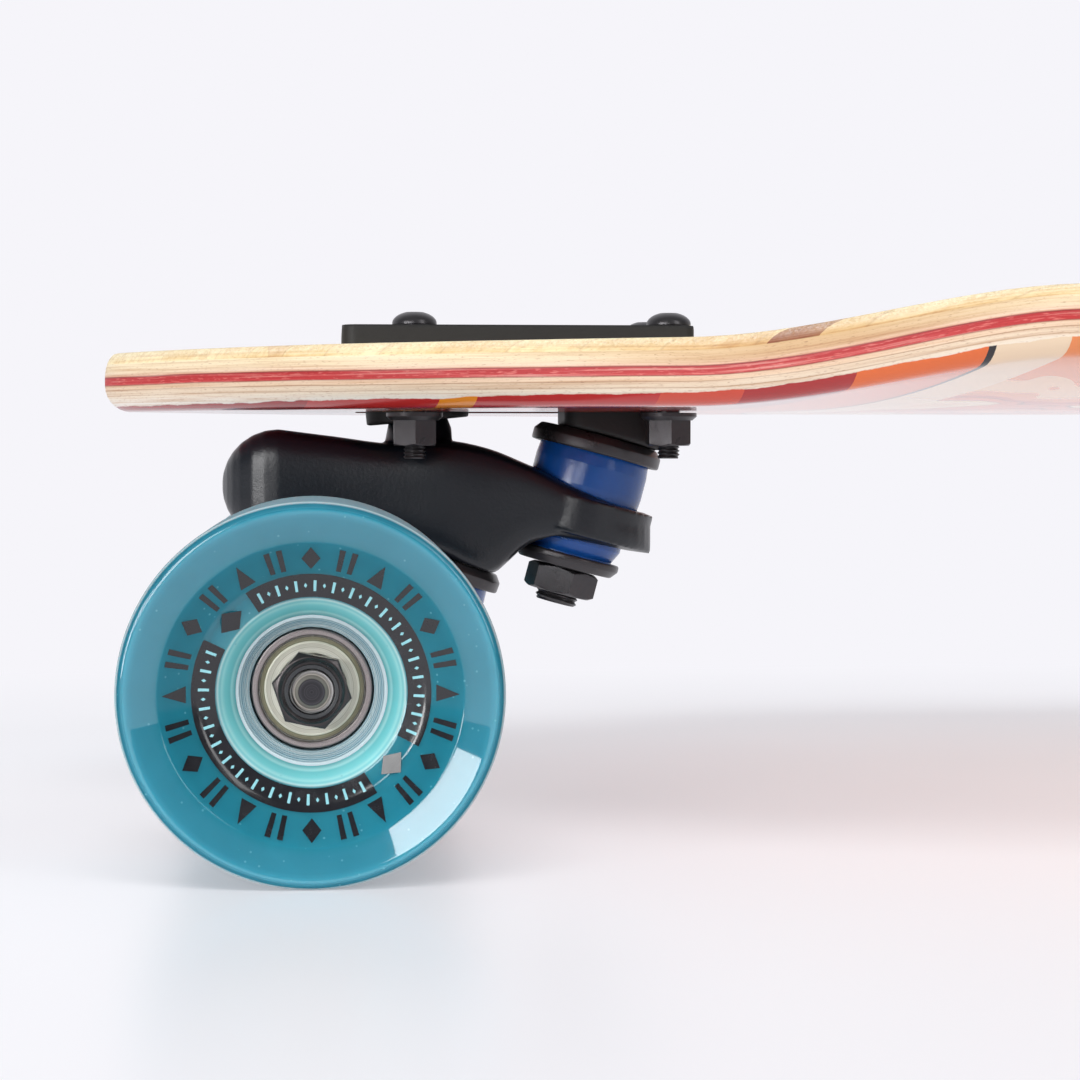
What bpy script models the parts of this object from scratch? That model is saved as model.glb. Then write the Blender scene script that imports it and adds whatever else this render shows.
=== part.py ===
"""A drop-through longboard: a laminated deck on two double-kingpin trucks with four wheels.

Units are metres, +Z is up and +X runs along the deck. The origin is on the floor, under the deck's middle.
Each truck has its own frame: x from the axle towards the middle of the board, z from the deck's underside.
"""

from math import cos, pi, radians, sin, sqrt, tan

import bmesh
import bpy
from mathutils import Matrix, Vector
from mathutils.geometry import interpolate_bezier

MM = 0.001
GAP = 0.3 * MM
WELD = 0.001 * MM

# Deck, its outline measured on the top face
DECK_LENGTH = 1016 * MM
DECK_WIDTH = 248 * MM
DECK_THICKNESS = 12.7 * MM
DECK_EDGE_ROUND = 3.3 * MM
DECK_EDGE_STRIP = 5 * MM
EDGE_SEGMENTS = 2
NOSE_ROUND = 8 * MM
SHOULDER_WIDTH = 126 * MM
SHOULDER_FROM_TIP = 52 * MM
SHOULDER_SLOPE = 0.675
SHOULDER_REACH = 20 * MM
RAIL_FROM_TIP = 215 * MM
RAIL_REACH = 65 * MM
RAIL_RISE = 9.3 * MM
RISE_FROM_TIP = 117 * MM
RISE_LENGTH = 68 * MM
FLAT_SHARE = 0.25
NOSE_ROWS = 6
FLARE_ROWS = 7
RISE_ROWS = 5
RISE_COLUMNS = 3

# Where the truck sits
AXLE_FROM_TIP = 45.7 * MM
TRUCK_HEIGHT = 51.4 * MM

# Baseplate
BASEPLATE_START = 5.8 * MM
BASEPLATE_LENGTH = 74.1 * MM
BASEPLATE_WIDTH = 56 * MM
BASEPLATE_THICKNESS = 5 * MM
BASEPLATE_CORNER = 3 * MM
BOSS_LENGTH = 21.5 * MM
BOSS_WIDTH = 26 * MM
BOSS_SHIFT = 2.2 * MM
BOSS_CORNER = 5 * MM
BOSS_FLARE = 3.5 * MM
SPINE_WIDTH = 10 * MM
SPINE_ABOVE_UNDERSIDE = 1.5 * MM
SLOT_CLEARANCE = 1 * MM
SLOT_CORNER = 6 * MM
ROOT_OVERLAP = 1 * MM

# Mounting bolts
BOLT_ROWS = 54 * MM
BOLT_COLUMNS = 41.3 * MM
BOLT_FROM_END = 4.8 * MM
BOLT_DIAMETER = 4.8 * MM
BOLT_HEAD_DIAMETER = 9.4 * MM
BOLT_HEAD_HEIGHT = 2.7 * MM
BOLT_NUT_FLATS = 8.8 * MM
BOLT_NUT_HEIGHT = 5.4 * MM
BOLT_FLANGE_DIAMETER = 12 * MM
BOLT_FLANGE_HEIGHT = 1.6 * MM
BOLT_TAIL = 2.7 * MM
BOLT_DOME_SHARE = 0.6
BOLT_DOME_DROP = 0.5 * MM
BOLT_RIM_HEIGHT = 0.4 * MM

# Pivots: a ball on a tapered post, in a rubber cup
PIVOT_BALL_DIAMETER = 10 * MM
SOCKET_PLAY = 0.5 * MM
CUP_DIAMETER = 17.2 * MM
CUP_ROOF = 1.7 * MM
CUP_SKIRT = 4.6 * MM
CUP_LIP = 1.1 * MM
HOUSING_WALL = 2.35 * MM
HOUSING_RIM = 0.45 * MM
UPPER_PIVOT_X = 22 * MM
UPPER_PIVOT_RISE = 3.1 * MM
UPPER_PIVOT_TILT = radians(-5.3)
UPPER_POST_TAPER = 0.3
UPPER_POST_LENGTH = 14 * MM
LOWER_PIVOT_X = -8 * MM
LOWER_PIVOT_DROP = 15.9 * MM
LOWER_PIVOT_TILT = radians(-26)
LOWER_POST_TAPER = 0.16
LOWER_POST_LENGTH = 30 * MM

# Kingpins, cup washers and bushings
KINGPIN_DIAMETER = 9.5 * MM
KINGPIN_HEAD_DIAMETER = 13 * MM
KINGPIN_HEAD_HEIGHT = 4.5 * MM
KINGPIN_NUT_FLATS = 14 * MM
KINGPIN_NUT_HEIGHT = 5.7 * MM
KINGPIN_NUT_TURN = radians(12)
KINGPIN_TAIL = 2.2 * MM
UPPER_SEAT_X = 62.5 * MM
UPPER_SEAT_DROP = 5 * MM
UPPER_KINGPIN_TILT = radians(15)
UPPER_GRIP = 17 * MM
LOWER_SEAT_X = 27.5 * MM
LOWER_SEAT_DROP = 30.9 * MM
LOWER_KINGPIN_TILT = radians(20)
LOWER_GRIP = 18.5 * MM
WASHER_THICKNESS = 1.6 * MM
WASHER_WALL = 1.3 * MM
WASHER_CLEARANCE = 0.6 * MM
BOARD_CUP_DEPTH = 2.4 * MM
ROAD_CUP_DEPTH = 1.4 * MM
BOARD_BUSHING_DIAMETER = 25 * MM
BOARD_BUSHING_LENGTH = 14.3 * MM
BOARD_BUSHING_WAIST = 0.5 * MM
ROAD_BUSHING_DIAMETER = 22 * MM
ROAD_BUSHING_END_DIAMETER = 19.5 * MM
ROAD_BUSHING_LENGTH = 7.9 * MM

# Rings of knuckle and hanger, round the kingpins
RING_WALL = 2.7 * MM
RING_HEIGHT = 8.1 * MM
RING_WEB = 3 * MM
RING_PLAY = 1.9 * MM
RECESS_CLEARANCE = 0.8 * MM
RELIEF_CLEARANCE = 2.3 * MM

# Knuckle
BULB_DIAMETER = 24.4 * MM
KNUCKLE_WIDTH = 31 * MM
KNUCKLE_TOP_DROP = 6.8 * MM
KNUCKLE_HUMP = 0.8 * MM
KNUCKLE_SHOULDER = 1 * MM
SEAT_REACH = 10 * MM
SEAT_ALLOWANCE = 1 * MM
ARM_WIDTH = 27 * MM
ARM_TOP_SLOPE = radians(22.5)
ARM_UNDER_SLOPE = radians(9)
ARM_THROAT = 1.9 * MM
ARM_START = 0.72
BULB_STATIONS = (-0.97, -0.8, -0.45, 0)
RING_STATIONS = (-0.3, 0.25, 0.6, 0.9)
ROUND = 2
BULB_END_FORM = 2.3
WAIST_FORM = 2.7
BODY_FORM = 3
ARM_FORM = 4

# Hanger and axle
HANGER_WIDTH = 140.4 * MM
HANGER_END_DIAMETER = 18 * MM
HANGER_MIDDLE_DIAMETER = 23 * MM
HANGER_BODY_WIDTH = 36 * MM
HANGER_ROUND = 1 * MM
AXLE_DIAMETER = 7.94 * MM
AXLE_TAIL = 0.4 * MM
AXLE_CHAMFER = 0.7 * MM
SPEED_WASHER = 0.8 * MM
AXLE_NUT_FLATS = 12.7 * MM
AXLE_NUT_HEIGHT = 5.5 * MM
AXLE_COLLAR_DIAMETER = 11.4 * MM
AXLE_COLLAR_HEIGHT = 1.6 * MM

# Bearings and wheels
BEARING_DIAMETER = 22 * MM
BEARING_WIDTH = 7 * MM
BEARING_RING_WALL = 1.3 * MM
SHIELD_RECESS = 0.35 * MM
INNER_RACE_DIAMETER = 12.2 * MM
SPACER_LENGTH = 10 * MM
SPACER_DIAMETER = 10 * MM
CORE_DIAMETER = 27.4 * MM
CORE_SHOULDER = 1.8 * MM
CORE_STAND = 3.6 * MM
CORE_LAND = 0.5 * MM
CORE_STEP = 0.9 * MM
WHEEL_DIAMETER = 69 * MM
WHEEL_WIDTH = 46.4 * MM
WHEEL_INSET = 6.2 * MM
LIP_ROUND = 1.7 * MM
DISH_DIAMETER = 54.2 * MM
DISH_DEPTH = 1.9 * MM
PRINT_OUTER_DIAMETER = 40.6 * MM
PRINT_OUTER_DEPTH = 7.2 * MM
PRINT_INNER_DIAMETER = 33.8 * MM
PRINT_INNER_DEPTH = 7.7 * MM
CORE_COLLAR = 1 * MM
BACK_DISH_DEPTH = 2.2 * MM

# Facets round a full turn
WHEEL_STEPS = 28
HUB_STEPS = 12
SMALL_STEPS = 10
BOLT_STEPS = 8
LIP_STEPS = 2
SECTION_POINTS = 14
CORNER_POINTS = 4
HEX_SIDES = 6
SHARP_ANGLE = radians(38)

# Colours: red, green, blue, roughness, metallic
FINISHES = {
    "laminated_maple": (0.72, 0.52, 0.30, 0.45, 0.0),
    "black_casting": (0.025, 0.026, 0.03, 0.55, 0.3),
    "black_steel": (0.03, 0.03, 0.032, 0.35, 0.8),
    "blue_urethane": (0.02, 0.10, 0.36, 0.35, 0.0),
    "black_rubber": (0.03, 0.03, 0.03, 0.8, 0.0),
    "teal_urethane": (0.10, 0.50, 0.58, 0.15, 0.0),
    "clear_core": (0.70, 0.82, 0.84, 0.2, 0.0),
    "bearing_steel": (0.72, 0.70, 0.62, 0.3, 1.0),
}

# Values worked out from the sizes above
UNDERSIDE = WHEEL_DIAMETER / 2 + TRUCK_HEIGHT
AXLE_X = DECK_LENGTH / 2 - AXLE_FROM_TIP
KINGPIN_RADIUS = KINGPIN_DIAMETER / 2
BORE_RADIUS = KINGPIN_RADIUS + GAP
BALL_RADIUS = PIVOT_BALL_DIAMETER / 2
CUP_RADIUS = CUP_DIAMETER / 2
SOCKET_RADIUS = BALL_RADIUS + SOCKET_PLAY
CUP_TOP = SOCKET_RADIUS + CUP_ROOF
HOUSING_RADIUS = CUP_RADIUS + GAP + HOUSING_WALL
BOARD_BUSHING_RADIUS = BOARD_BUSHING_DIAMETER / 2
ROAD_BUSHING_RADIUS = ROAD_BUSHING_DIAMETER / 2
BOARD_WASHER_RADIUS = BOARD_BUSHING_RADIUS + WASHER_CLEARANCE + WASHER_WALL
ROAD_WASHER_RADIUS = ROAD_BUSHING_END_DIAMETER / 2 + WASHER_CLEARANCE + WASHER_WALL
BOARD_RECESS_RADIUS = BOARD_BUSHING_RADIUS + RECESS_CLEARANCE
ROAD_RECESS_RADIUS = ROAD_BUSHING_RADIUS + RECESS_CLEARANCE
RING_RADIUS = BOARD_RECESS_RADIUS + RING_WALL
RING_BORE_RADIUS = KINGPIN_RADIUS + RING_PLAY
RELIEF_RADIUS = ROAD_WASHER_RADIUS + RELIEF_CLEARANCE

# Depths along a kingpin, measured down from the face that its board-side washer seats on
BOARD_WASHER_TOP = GAP
BOARD_BUSHING_TOP = BOARD_WASHER_TOP + WASHER_THICKNESS + GAP
WEB_TOP = BOARD_BUSHING_TOP + BOARD_BUSHING_LENGTH + GAP
WEB_BOTTOM = WEB_TOP + RING_WEB
RING_CENTRE = (WEB_TOP + WEB_BOTTOM) / 2
RING_TOP = RING_CENTRE - RING_HEIGHT / 2
RING_BOTTOM = RING_CENTRE + RING_HEIGHT / 2
ROAD_BUSHING_TOP = WEB_BOTTOM + GAP
ROAD_WASHER_TOP = ROAD_BUSHING_TOP + ROAD_BUSHING_LENGTH + GAP
KINGPIN_NUT_TOP = ROAD_WASHER_TOP + WASHER_THICKNESS + GAP
KINGPIN_END = KINGPIN_NUT_TOP + KINGPIN_NUT_HEIGHT + KINGPIN_TAIL

# Distances along the axle, measured from the middle of the board
HANGER_END = HANGER_WIDTH / 2
RACE_START = HANGER_END + SPEED_WASHER
SPACER_START = RACE_START + BEARING_WIDTH
SPACER_END = SPACER_START + SPACER_LENGTH
RACE_END = SPACER_END + BEARING_WIDTH
STACK_END = RACE_END + SPEED_WASHER
AXLE_NUT_START = STACK_END + GAP
AXLE_END = AXLE_NUT_START + AXLE_NUT_HEIGHT + AXLE_TAIL
WHEEL_MIDDLE = HANGER_END + WHEEL_WIDTH / 2 - WHEEL_INSET

AXLE = Vector((0, 0, -TRUCK_HEIGHT))
UPPER_PIVOT = Vector((UPPER_PIVOT_X, 0, UPPER_PIVOT_RISE))
LOWER_PIVOT = Vector((LOWER_PIVOT_X, 0, -LOWER_PIVOT_DROP))
UPPER_SEAT = Vector((UPPER_SEAT_X, 0, -UPPER_SEAT_DROP))
LOWER_SEAT = Vector((LOWER_SEAT_X, 0, -LOWER_SEAT_DROP))
BASEPLATE_LOW = DECK_THICKNESS + GAP
BASEPLATE_HIGH = BASEPLATE_LOW + BASEPLATE_THICKNESS
BASEPLATE_END = BASEPLATE_START + BASEPLATE_LENGTH
BOLT_X = (BASEPLATE_END - BOLT_FROM_END - BOLT_ROWS, BASEPLATE_END - BOLT_FROM_END)
BOLT_Y = (-BOLT_COLUMNS / 2, BOLT_COLUMNS / 2)
BOSS_CENTRE = UPPER_SEAT_X + BOSS_SHIFT
BOSS_END = BOSS_CENTRE + BOSS_LENGTH / 2
SLOT_WIDTH = max(BOSS_WIDTH, 2 * HOUSING_RADIUS) + 2 * SLOT_CLEARANCE
ENDS = {"front": -1, "rear": 1}
SIDES = {"left": -1, "right": 1}


def clear_scene():
    for leftover in list(bpy.data.objects):
        bpy.data.objects.remove(leftover)


def new_collection(name):
    made = bpy.data.collections.new(name)
    bpy.context.scene.collection.children.link(made)
    return made


def new_material(name, red, green, blue, roughness, metallic):
    made = bpy.data.materials.new(name)
    made.use_nodes = True
    shader = made.node_tree.nodes["Principled BSDF"]
    shader.inputs["Base Color"].default_value = (red, green, blue, 1)
    shader.inputs["Roughness"].default_value = roughness
    shader.inputs["Metallic"].default_value = metallic
    return made


clear_scene()
BOARD = new_collection("drop_through_longboard")
CUTTERS = new_collection("cutters")


def new_object(name, mesh, group=BOARD):
    made = bpy.data.objects.new(name, mesh)
    group.objects.link(made)
    return made


def new_empty(name, place, parent=None, turn=None):
    """A joint or seat frame, at a place in its parent's frame."""
    made = new_object(name, None)
    made.parent = parent
    made.matrix_local = Matrix.Translation(place) @ (turn or Matrix()).to_4x4()
    return made


def shade(mesh):
    mesh.shade_smooth()
    mesh.set_sharp_from_angle(angle=SHARP_ANGLE)


def evaluated_mesh(source):
    """The mesh that an object's curve and modifiers make, welded, in place of the object."""
    made = bpy.data.meshes.new_from_object(source.evaluated_get(bpy.context.evaluated_depsgraph_get()))
    bpy.data.objects.remove(source)
    edit = bmesh.new()
    edit.from_mesh(made)
    bmesh.ops.remove_doubles(edit, verts=edit.verts, dist=WELD)
    bmesh.ops.recalc_face_normals(edit, faces=edit.faces)
    edit.to_mesh(made)
    edit.free()
    return made


def turned(profile, steps, turn=None):
    """A mesh turned about Z from (radius, height) points, running down the outer side."""
    count = len(profile)
    bored = profile[0][0] > 0
    edges = [(i, i + 1) for i in range(count - 1)]
    if bored:
        edges.append((count - 1, 0))
    mesh = bpy.data.meshes.new("profile")
    mesh.from_pydata([(radius, 0, height) for radius, height in profile], edges, [])
    profile_object = new_object("profile", mesh)
    screw = profile_object.modifiers.new("turn", "SCREW")
    screw.steps = steps
    screw.render_steps = steps
    screw.use_merge_vertices = True
    screw.merge_threshold = WELD
    made = evaluated_mesh(profile_object)
    if turn:
        made.transform(turn.to_4x4())
    shade(made)
    return made


def slab(outline, low, high):
    """A flat outline of (x, y) points raised from one height to another."""
    curve = bpy.data.curves.new("outline", "CURVE")
    curve.dimensions = "2D"
    curve.fill_mode = "BOTH"
    curve.extrude = (high - low) / 2
    spline = curve.splines.new("POLY")
    spline.points.add(len(outline) - 1)
    for point, (x, y) in zip(spline.points, outline):
        point.co = (x, y, 0, 1)
    spline.use_cyclic_u = True
    made = evaluated_mesh(new_object("outline", curve))
    made.transform(Matrix.Translation((0, 0, (low + high) / 2)))
    return made


def rounded_rectangle(start, end, width, corner):
    """Outline points of a rectangle along X with round corners."""
    points = []
    centres = (
        (end - corner, width / 2 - corner, 0),
        (start + corner, width / 2 - corner, pi / 2),
        (start + corner, corner - width / 2, pi),
        (end - corner, corner - width / 2, 3 * pi / 2),
    )
    for x, y, first in centres:
        for step in range(CORNER_POINTS):
            angle = first + step / (CORNER_POINTS - 1) * pi / 2
            points.append((x + corner * cos(angle), y + corner * sin(angle)))
    return points


def prism(flats, low, high, turn=None):
    """A hexagonal prism about Z, of this size across its flats."""
    edit = bmesh.new()
    corner = flats / 2 / cos(pi / HEX_SIDES)
    bmesh.ops.create_cone(
        edit, cap_ends=True, segments=HEX_SIDES, radius1=corner, radius2=corner, depth=high - low
    )
    bmesh.ops.translate(edit, verts=edit.verts, vec=(0, 0, (low + high) / 2))
    made = bpy.data.meshes.new("hexagon")
    edit.to_mesh(made)
    edit.free()
    if turn:
        made.transform(turn.to_4x4())
    return made


def loft(rings):
    """A closed skin through rings of equal numbers of points."""
    edit = bmesh.new()
    rows = [[edit.verts.new(point) for point in ring] for ring in rings]
    for row, after in zip(rows, rows[1:]):
        for i in range(len(row)):
            j = (i + 1) % len(row)
            edit.faces.new((row[i], row[j], after[j], after[i]))
    edit.faces.new(rows[0])
    edit.faces.new(rows[-1])
    bmesh.ops.recalc_face_normals(edit, faces=edit.faces)
    made = bpy.data.meshes.new("loft")
    edit.to_mesh(made)
    edit.free()
    shade(made)
    return made


def rounded_section(across, up, squareness):
    """Points (across, up) of a section of these half sizes, from ROUND for an ellipse to squarer forms."""
    points = []
    for step in range(SECTION_POINTS):
        angle = 2 * pi * (step + 0.5) / SECTION_POINTS
        side, rise = cos(angle), sin(angle)
        share = ROUND / squareness
        points.append(
            (
                across * abs(side) ** share * (1 if side > 0 else -1),
                up * abs(rise) ** share * (1 if rise > 0 else -1),
            )
        )
    return points


def tilt(angle):
    return Matrix.Rotation(angle, 3, "Y")


def moved(mesh, place, turn=None):
    """The mesh, turned and then set at a place."""
    mesh.transform(Matrix.Translation(place) @ (turn or Matrix()).to_4x4())
    return mesh


def worked(target, mesh, operation):
    """Adds a Boolean with a mesh in the target's own frame."""
    cutter = new_object(f"{target.name}_{operation.lower()}", mesh, CUTTERS)
    cutter.parent = target
    cutter.hide_render = True
    cutter.display_type = "WIRE"
    modifier = target.modifiers.new(operation.lower(), "BOOLEAN")
    modifier.operation = operation
    modifier.object = cutter


def add(target, mesh):
    worked(target, mesh, "UNION")


def cut(target, mesh):
    mesh.shade_flat()
    worked(target, mesh, "DIFFERENCE")


def piece(name, mesh, finish, parent, place=(0, 0, 0)):
    made = new_object(name, mesh)
    made.data.materials.append(MATERIALS[finish])
    made.parent = parent
    made.location = place
    return made


def cylinder(radius, low, high, steps=HUB_STEPS):
    return turned([(0, high), (radius, high), (radius, low), (0, low)], steps)


def smooth_step(value):
    value = min(max(value, 0), 1)
    return value * value * (3 - 2 * value)


def deck_half_outline():
    """Points (distance from the tip, half-width) from the tip to the middle of the board."""
    shoulder = Vector((SHOULDER_FROM_TIP, SHOULDER_WIDTH / 2, 0))
    rail = Vector((RAIL_FROM_TIP, DECK_WIDTH / 2, 0))
    slope = Vector((1, SHOULDER_SLOPE, 0))
    nose = interpolate_bezier(
        Vector((0, 0, 0)),
        Vector((0, NOSE_ROUND, 0)),
        shoulder - SHOULDER_REACH * slope,
        shoulder,
        NOSE_ROWS + 1,
    )
    flare = interpolate_bezier(
        shoulder,
        shoulder + 2 * SHOULDER_REACH * slope,
        rail - Vector((RAIL_REACH, 0, 0)),
        rail,
        FLARE_ROWS + 1,
    )
    return nose[:-1] + flare


def half_width_at(x):
    """Half the deck's width at a place along it."""
    from_tip = DECK_LENGTH / 2 - abs(x)
    outline = deck_half_outline()
    for before, after in zip(outline, outline[1:]):
        if from_tip <= after.x:
            share = (from_tip - before.x) / (after.x - before.x)
            return before.y + share * (after.y - before.y)
    return DECK_WIDTH / 2


def rail_rise(x, y):
    """How far the deck stands above its flat middle."""
    along = smooth_step((DECK_LENGTH / 2 - abs(x) - RISE_FROM_TIP) / RISE_LENGTH)
    across = max(0, abs(y) / half_width_at(x) - FLAT_SHARE) / (1 - FLAT_SHARE)
    return RAIL_RISE * along * across * across


def deck_top():
    """The open top surface of the deck, with its raised rails."""
    half = [(DECK_LENGTH / 2 - point.x, point.y) for point in deck_half_outline()]
    quarter = half[1:]
    loop = half + [(-x, y) for x, y in reversed(half)]
    loop += [(-x, -y) for x, y in quarter] + [(x, -y) for x, y in reversed(quarter)]
    edit = bmesh.new()
    middle = edit.faces.new([edit.verts.new((x, y, 0)) for x, y in loop])
    edge = bmesh.ops.inset_region(edit, faces=[middle], thickness=DECK_EDGE_STRIP, use_even_offset=True)
    strips = set(edge["faces"])
    cuts = []
    for step in range(RISE_ROWS + 1):
        row = DECK_LENGTH / 2 - RISE_FROM_TIP - step / RISE_ROWS * RISE_LENGTH
        cuts += [((row, 0, 0), (1, 0, 0)), ((-row, 0, 0), (1, 0, 0))]
    for step in range(RISE_COLUMNS):
        column = (FLAT_SHARE + (1 - FLAT_SHARE) * step / RISE_COLUMNS) * DECK_WIDTH / 2
        cuts += [((0, column, 0), (0, 1, 0)), ((0, -column, 0), (0, 1, 0))]
    for place, across in cuts:
        inner = [face for face in edit.faces if face not in strips]
        edges = {side for face in inner for side in face.edges}
        verts = {corner for face in inner for corner in face.verts}
        bmesh.ops.bisect_plane(
            edit, geom=inner + list(edges) + list(verts), dist=GAP, plane_co=place, plane_no=across
        )
    for vert in edit.verts:
        vert.co.z = UNDERSIDE + DECK_THICKNESS + rail_rise(vert.co.x, vert.co.y)
    if edit.faces[:][0].normal.z < 0:
        bmesh.ops.reverse_faces(edit, faces=edit.faces)
    made = bpy.data.meshes.new("deck")
    edit.to_mesh(made)
    edit.free()
    shade(made)
    return made


def slot_ends():
    lean = abs(tan(UPPER_PIVOT_TILT)) * DECK_THICKNESS
    return UPPER_PIVOT_X - HOUSING_RADIUS - lean - SLOT_CLEARANCE, BOSS_END + SLOT_CLEARANCE


def make_deck(trucks):
    deck = piece("deck", deck_top(), "laminated_maple", None)
    thickness = deck.modifiers.new("thickness", "SOLIDIFY")
    thickness.thickness = DECK_THICKNESS
    thickness.offset = -1
    thickness.use_even_offset = True
    edge = deck.modifiers.new("round_edge", "BEVEL")
    edge.width = DECK_EDGE_ROUND
    edge.segments = EDGE_SEGMENTS
    edge.limit_method = "ANGLE"
    edge.angle_limit = SHARP_ANGLE
    start, end = slot_ends()
    for truck in trucks.values():
        low, high = -DECK_THICKNESS, 2 * DECK_THICKNESS
        slot = slab(rounded_rectangle(start, end, SLOT_WIDTH, SLOT_CORNER), low, high)
        cut(deck, moved(slot, truck.location, truck.rotation_euler.to_matrix()))
        for x in BOLT_X:
            for y in BOLT_Y:
                hole = moved(cylinder(BOLT_DIAMETER / 2 + GAP, low, high, BOLT_STEPS), (x, y, 0))
                cut(deck, moved(hole, truck.location, truck.rotation_euler.to_matrix()))


def pivot_cup_profile():
    """A rubber cup about its ball's centre, open at the bottom."""
    half = SOCKET_RADIUS / sqrt(2)
    return [
        (0, CUP_TOP),
        (CUP_RADIUS, CUP_TOP),
        (CUP_RADIUS, -CUP_SKIRT),
        (CUP_RADIUS - CUP_LIP, -CUP_SKIRT),
        (SOCKET_RADIUS, 0),
        (half, half),
        (0, SOCKET_RADIUS),
    ]


def cup_bore():
    return cylinder(CUP_RADIUS + GAP, -2 * CUP_SKIRT, CUP_TOP + GAP)


def pivot_post(length, taper):
    """A ball on a post that widens away from it."""
    half = BALL_RADIUS / sqrt(2)
    foot = BALL_RADIUS + taper * length
    profile = [(0, BALL_RADIUS), (half, half), (BALL_RADIUS, 0), (foot, -length), (0, -length)]
    return turned(profile, SMALL_STEPS)


def kingpin_boss(root):
    """The boss under the plate, which widens towards the slanted seat of the upper washer."""
    start = BOSS_CENTRE - BOSS_LENGTH / 2
    low = rounded_rectangle(start, BOSS_END, BOSS_WIDTH, BOSS_CORNER)
    high = rounded_rectangle(start, BOSS_END - BOSS_FLARE, BOSS_WIDTH - BOSS_FLARE, BOSS_CORNER)
    slope = tan(UPPER_KINGPIN_TILT)
    seat = [Vector((x, y, UPPER_SEAT.z - slope * (x - UPPER_SEAT.x))) for x, y in low]
    return loft([seat, [Vector((x, y, root)) for x, y in high]])


def make_baseplate(end, truck):
    outline = rounded_rectangle(BASEPLATE_START, BASEPLATE_END, BASEPLATE_WIDTH, BASEPLATE_CORNER)
    baseplate = piece(
        f"{end}_baseplate", slab(outline, BASEPLATE_LOW, BASEPLATE_HIGH), "black_casting", truck
    )
    root = BASEPLATE_LOW + ROOT_OVERLAP
    seat_turn = tilt(UPPER_KINGPIN_TILT)
    add(baseplate, kingpin_boss(root))
    housing_low = -CUP_SKIRT - HOUSING_RIM
    housing_high = (root - UPPER_PIVOT_RISE) / cos(UPPER_PIVOT_TILT)
    pivot_turn = tilt(UPPER_PIVOT_TILT)
    add(baseplate, moved(cylinder(HOUSING_RADIUS, housing_low, housing_high), UPPER_PIVOT, pivot_turn))
    spine = rounded_rectangle(UPPER_PIVOT_X, BOSS_CENTRE, SPINE_WIDTH, SPINE_WIDTH / 4)
    add(baseplate, slab(spine, SPINE_ABOVE_UNDERSIDE, root))
    cut(baseplate, moved(cup_bore(), UPPER_PIVOT, pivot_turn))
    cut(baseplate, moved(kingpin_bore(UPPER_GRIP), UPPER_SEAT, seat_turn))
    for x in BOLT_X:
        for y in BOLT_Y:
            hole = cylinder(BOLT_DIAMETER / 2 + GAP, 0, BASEPLATE_HIGH + BASEPLATE_THICKNESS, BOLT_STEPS)
            cut(baseplate, moved(hole, (x, y, 0)))


def kingpin_bore(grip):
    """The hole that a kingpin needs, with a pocket for its head, above the seat."""
    pocket = KINGPIN_HEAD_DIAMETER / 2 + 2 * GAP
    top = grip + 5 * KINGPIN_HEAD_HEIGHT
    profile = [
        (0, top),
        (pocket, top),
        (pocket, grip - GAP),
        (BORE_RADIUS, grip - GAP),
        (BORE_RADIUS, -KINGPIN_END),
        (0, -KINGPIN_END),
    ]
    return turned(profile, HUB_STEPS)


def make_kingpin(name, parent, grip):
    """A kingpin from its head down to its nut, with its seat at z = 0."""
    head = KINGPIN_HEAD_DIAMETER / 2
    profile = [
        (0, grip + KINGPIN_HEAD_HEIGHT),
        (head, grip + KINGPIN_HEAD_HEIGHT),
        (head, grip),
        (KINGPIN_RADIUS, grip),
        (KINGPIN_RADIUS, -KINGPIN_END),
        (0, -KINGPIN_END),
    ]
    kingpin = piece(name, turned(profile, SMALL_STEPS), "black_steel", parent)
    nut_turn = Matrix.Rotation(KINGPIN_NUT_TURN, 3, "Z")
    nut_low = -KINGPIN_NUT_TOP - KINGPIN_NUT_HEIGHT
    add(kingpin, prism(KINGPIN_NUT_FLATS, nut_low, -KINGPIN_NUT_TOP, nut_turn))


def make_board_washer(name, parent):
    """A cup washer, open downwards."""
    inner = BOARD_WASHER_RADIUS - WASHER_WALL
    top = -BOARD_WASHER_TOP
    floor = top - WASHER_THICKNESS
    profile = [
        (BORE_RADIUS, top),
        (inner, top),
        (BOARD_WASHER_RADIUS, floor),
        (BOARD_WASHER_RADIUS, floor - BOARD_CUP_DEPTH),
        (inner, floor - BOARD_CUP_DEPTH),
        (inner, floor),
        (BORE_RADIUS, floor),
    ]
    piece(name, turned(profile, HUB_STEPS), "black_steel", parent)


def make_road_washer(name, parent):
    """A cup washer, open upwards."""
    inner = ROAD_WASHER_RADIUS - WASHER_WALL
    top = -ROAD_WASHER_TOP
    low = top - WASHER_THICKNESS
    profile = [
        (BORE_RADIUS, top),
        (inner, top),
        (inner, top + ROAD_CUP_DEPTH),
        (ROAD_WASHER_RADIUS, top + ROAD_CUP_DEPTH),
        (ROAD_WASHER_RADIUS, top),
        (inner, low),
        (BORE_RADIUS, low),
    ]
    piece(name, turned(profile, HUB_STEPS), "black_steel", parent)


def make_board_bushing(name, parent):
    """A barrel bushing between the cup washer and the ring."""
    top = -BOARD_BUSHING_TOP
    low = top - BOARD_BUSHING_LENGTH
    end = BOARD_BUSHING_RADIUS - BOARD_BUSHING_WAIST
    profile = [
        (BORE_RADIUS, top),
        (end, top),
        (BOARD_BUSHING_RADIUS, (2 * top + low) / 3),
        (BOARD_BUSHING_RADIUS, (top + 2 * low) / 3),
        (end, low),
        (BORE_RADIUS, low),
    ]
    piece(name, turned(profile, HUB_STEPS), "blue_urethane", parent)


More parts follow.
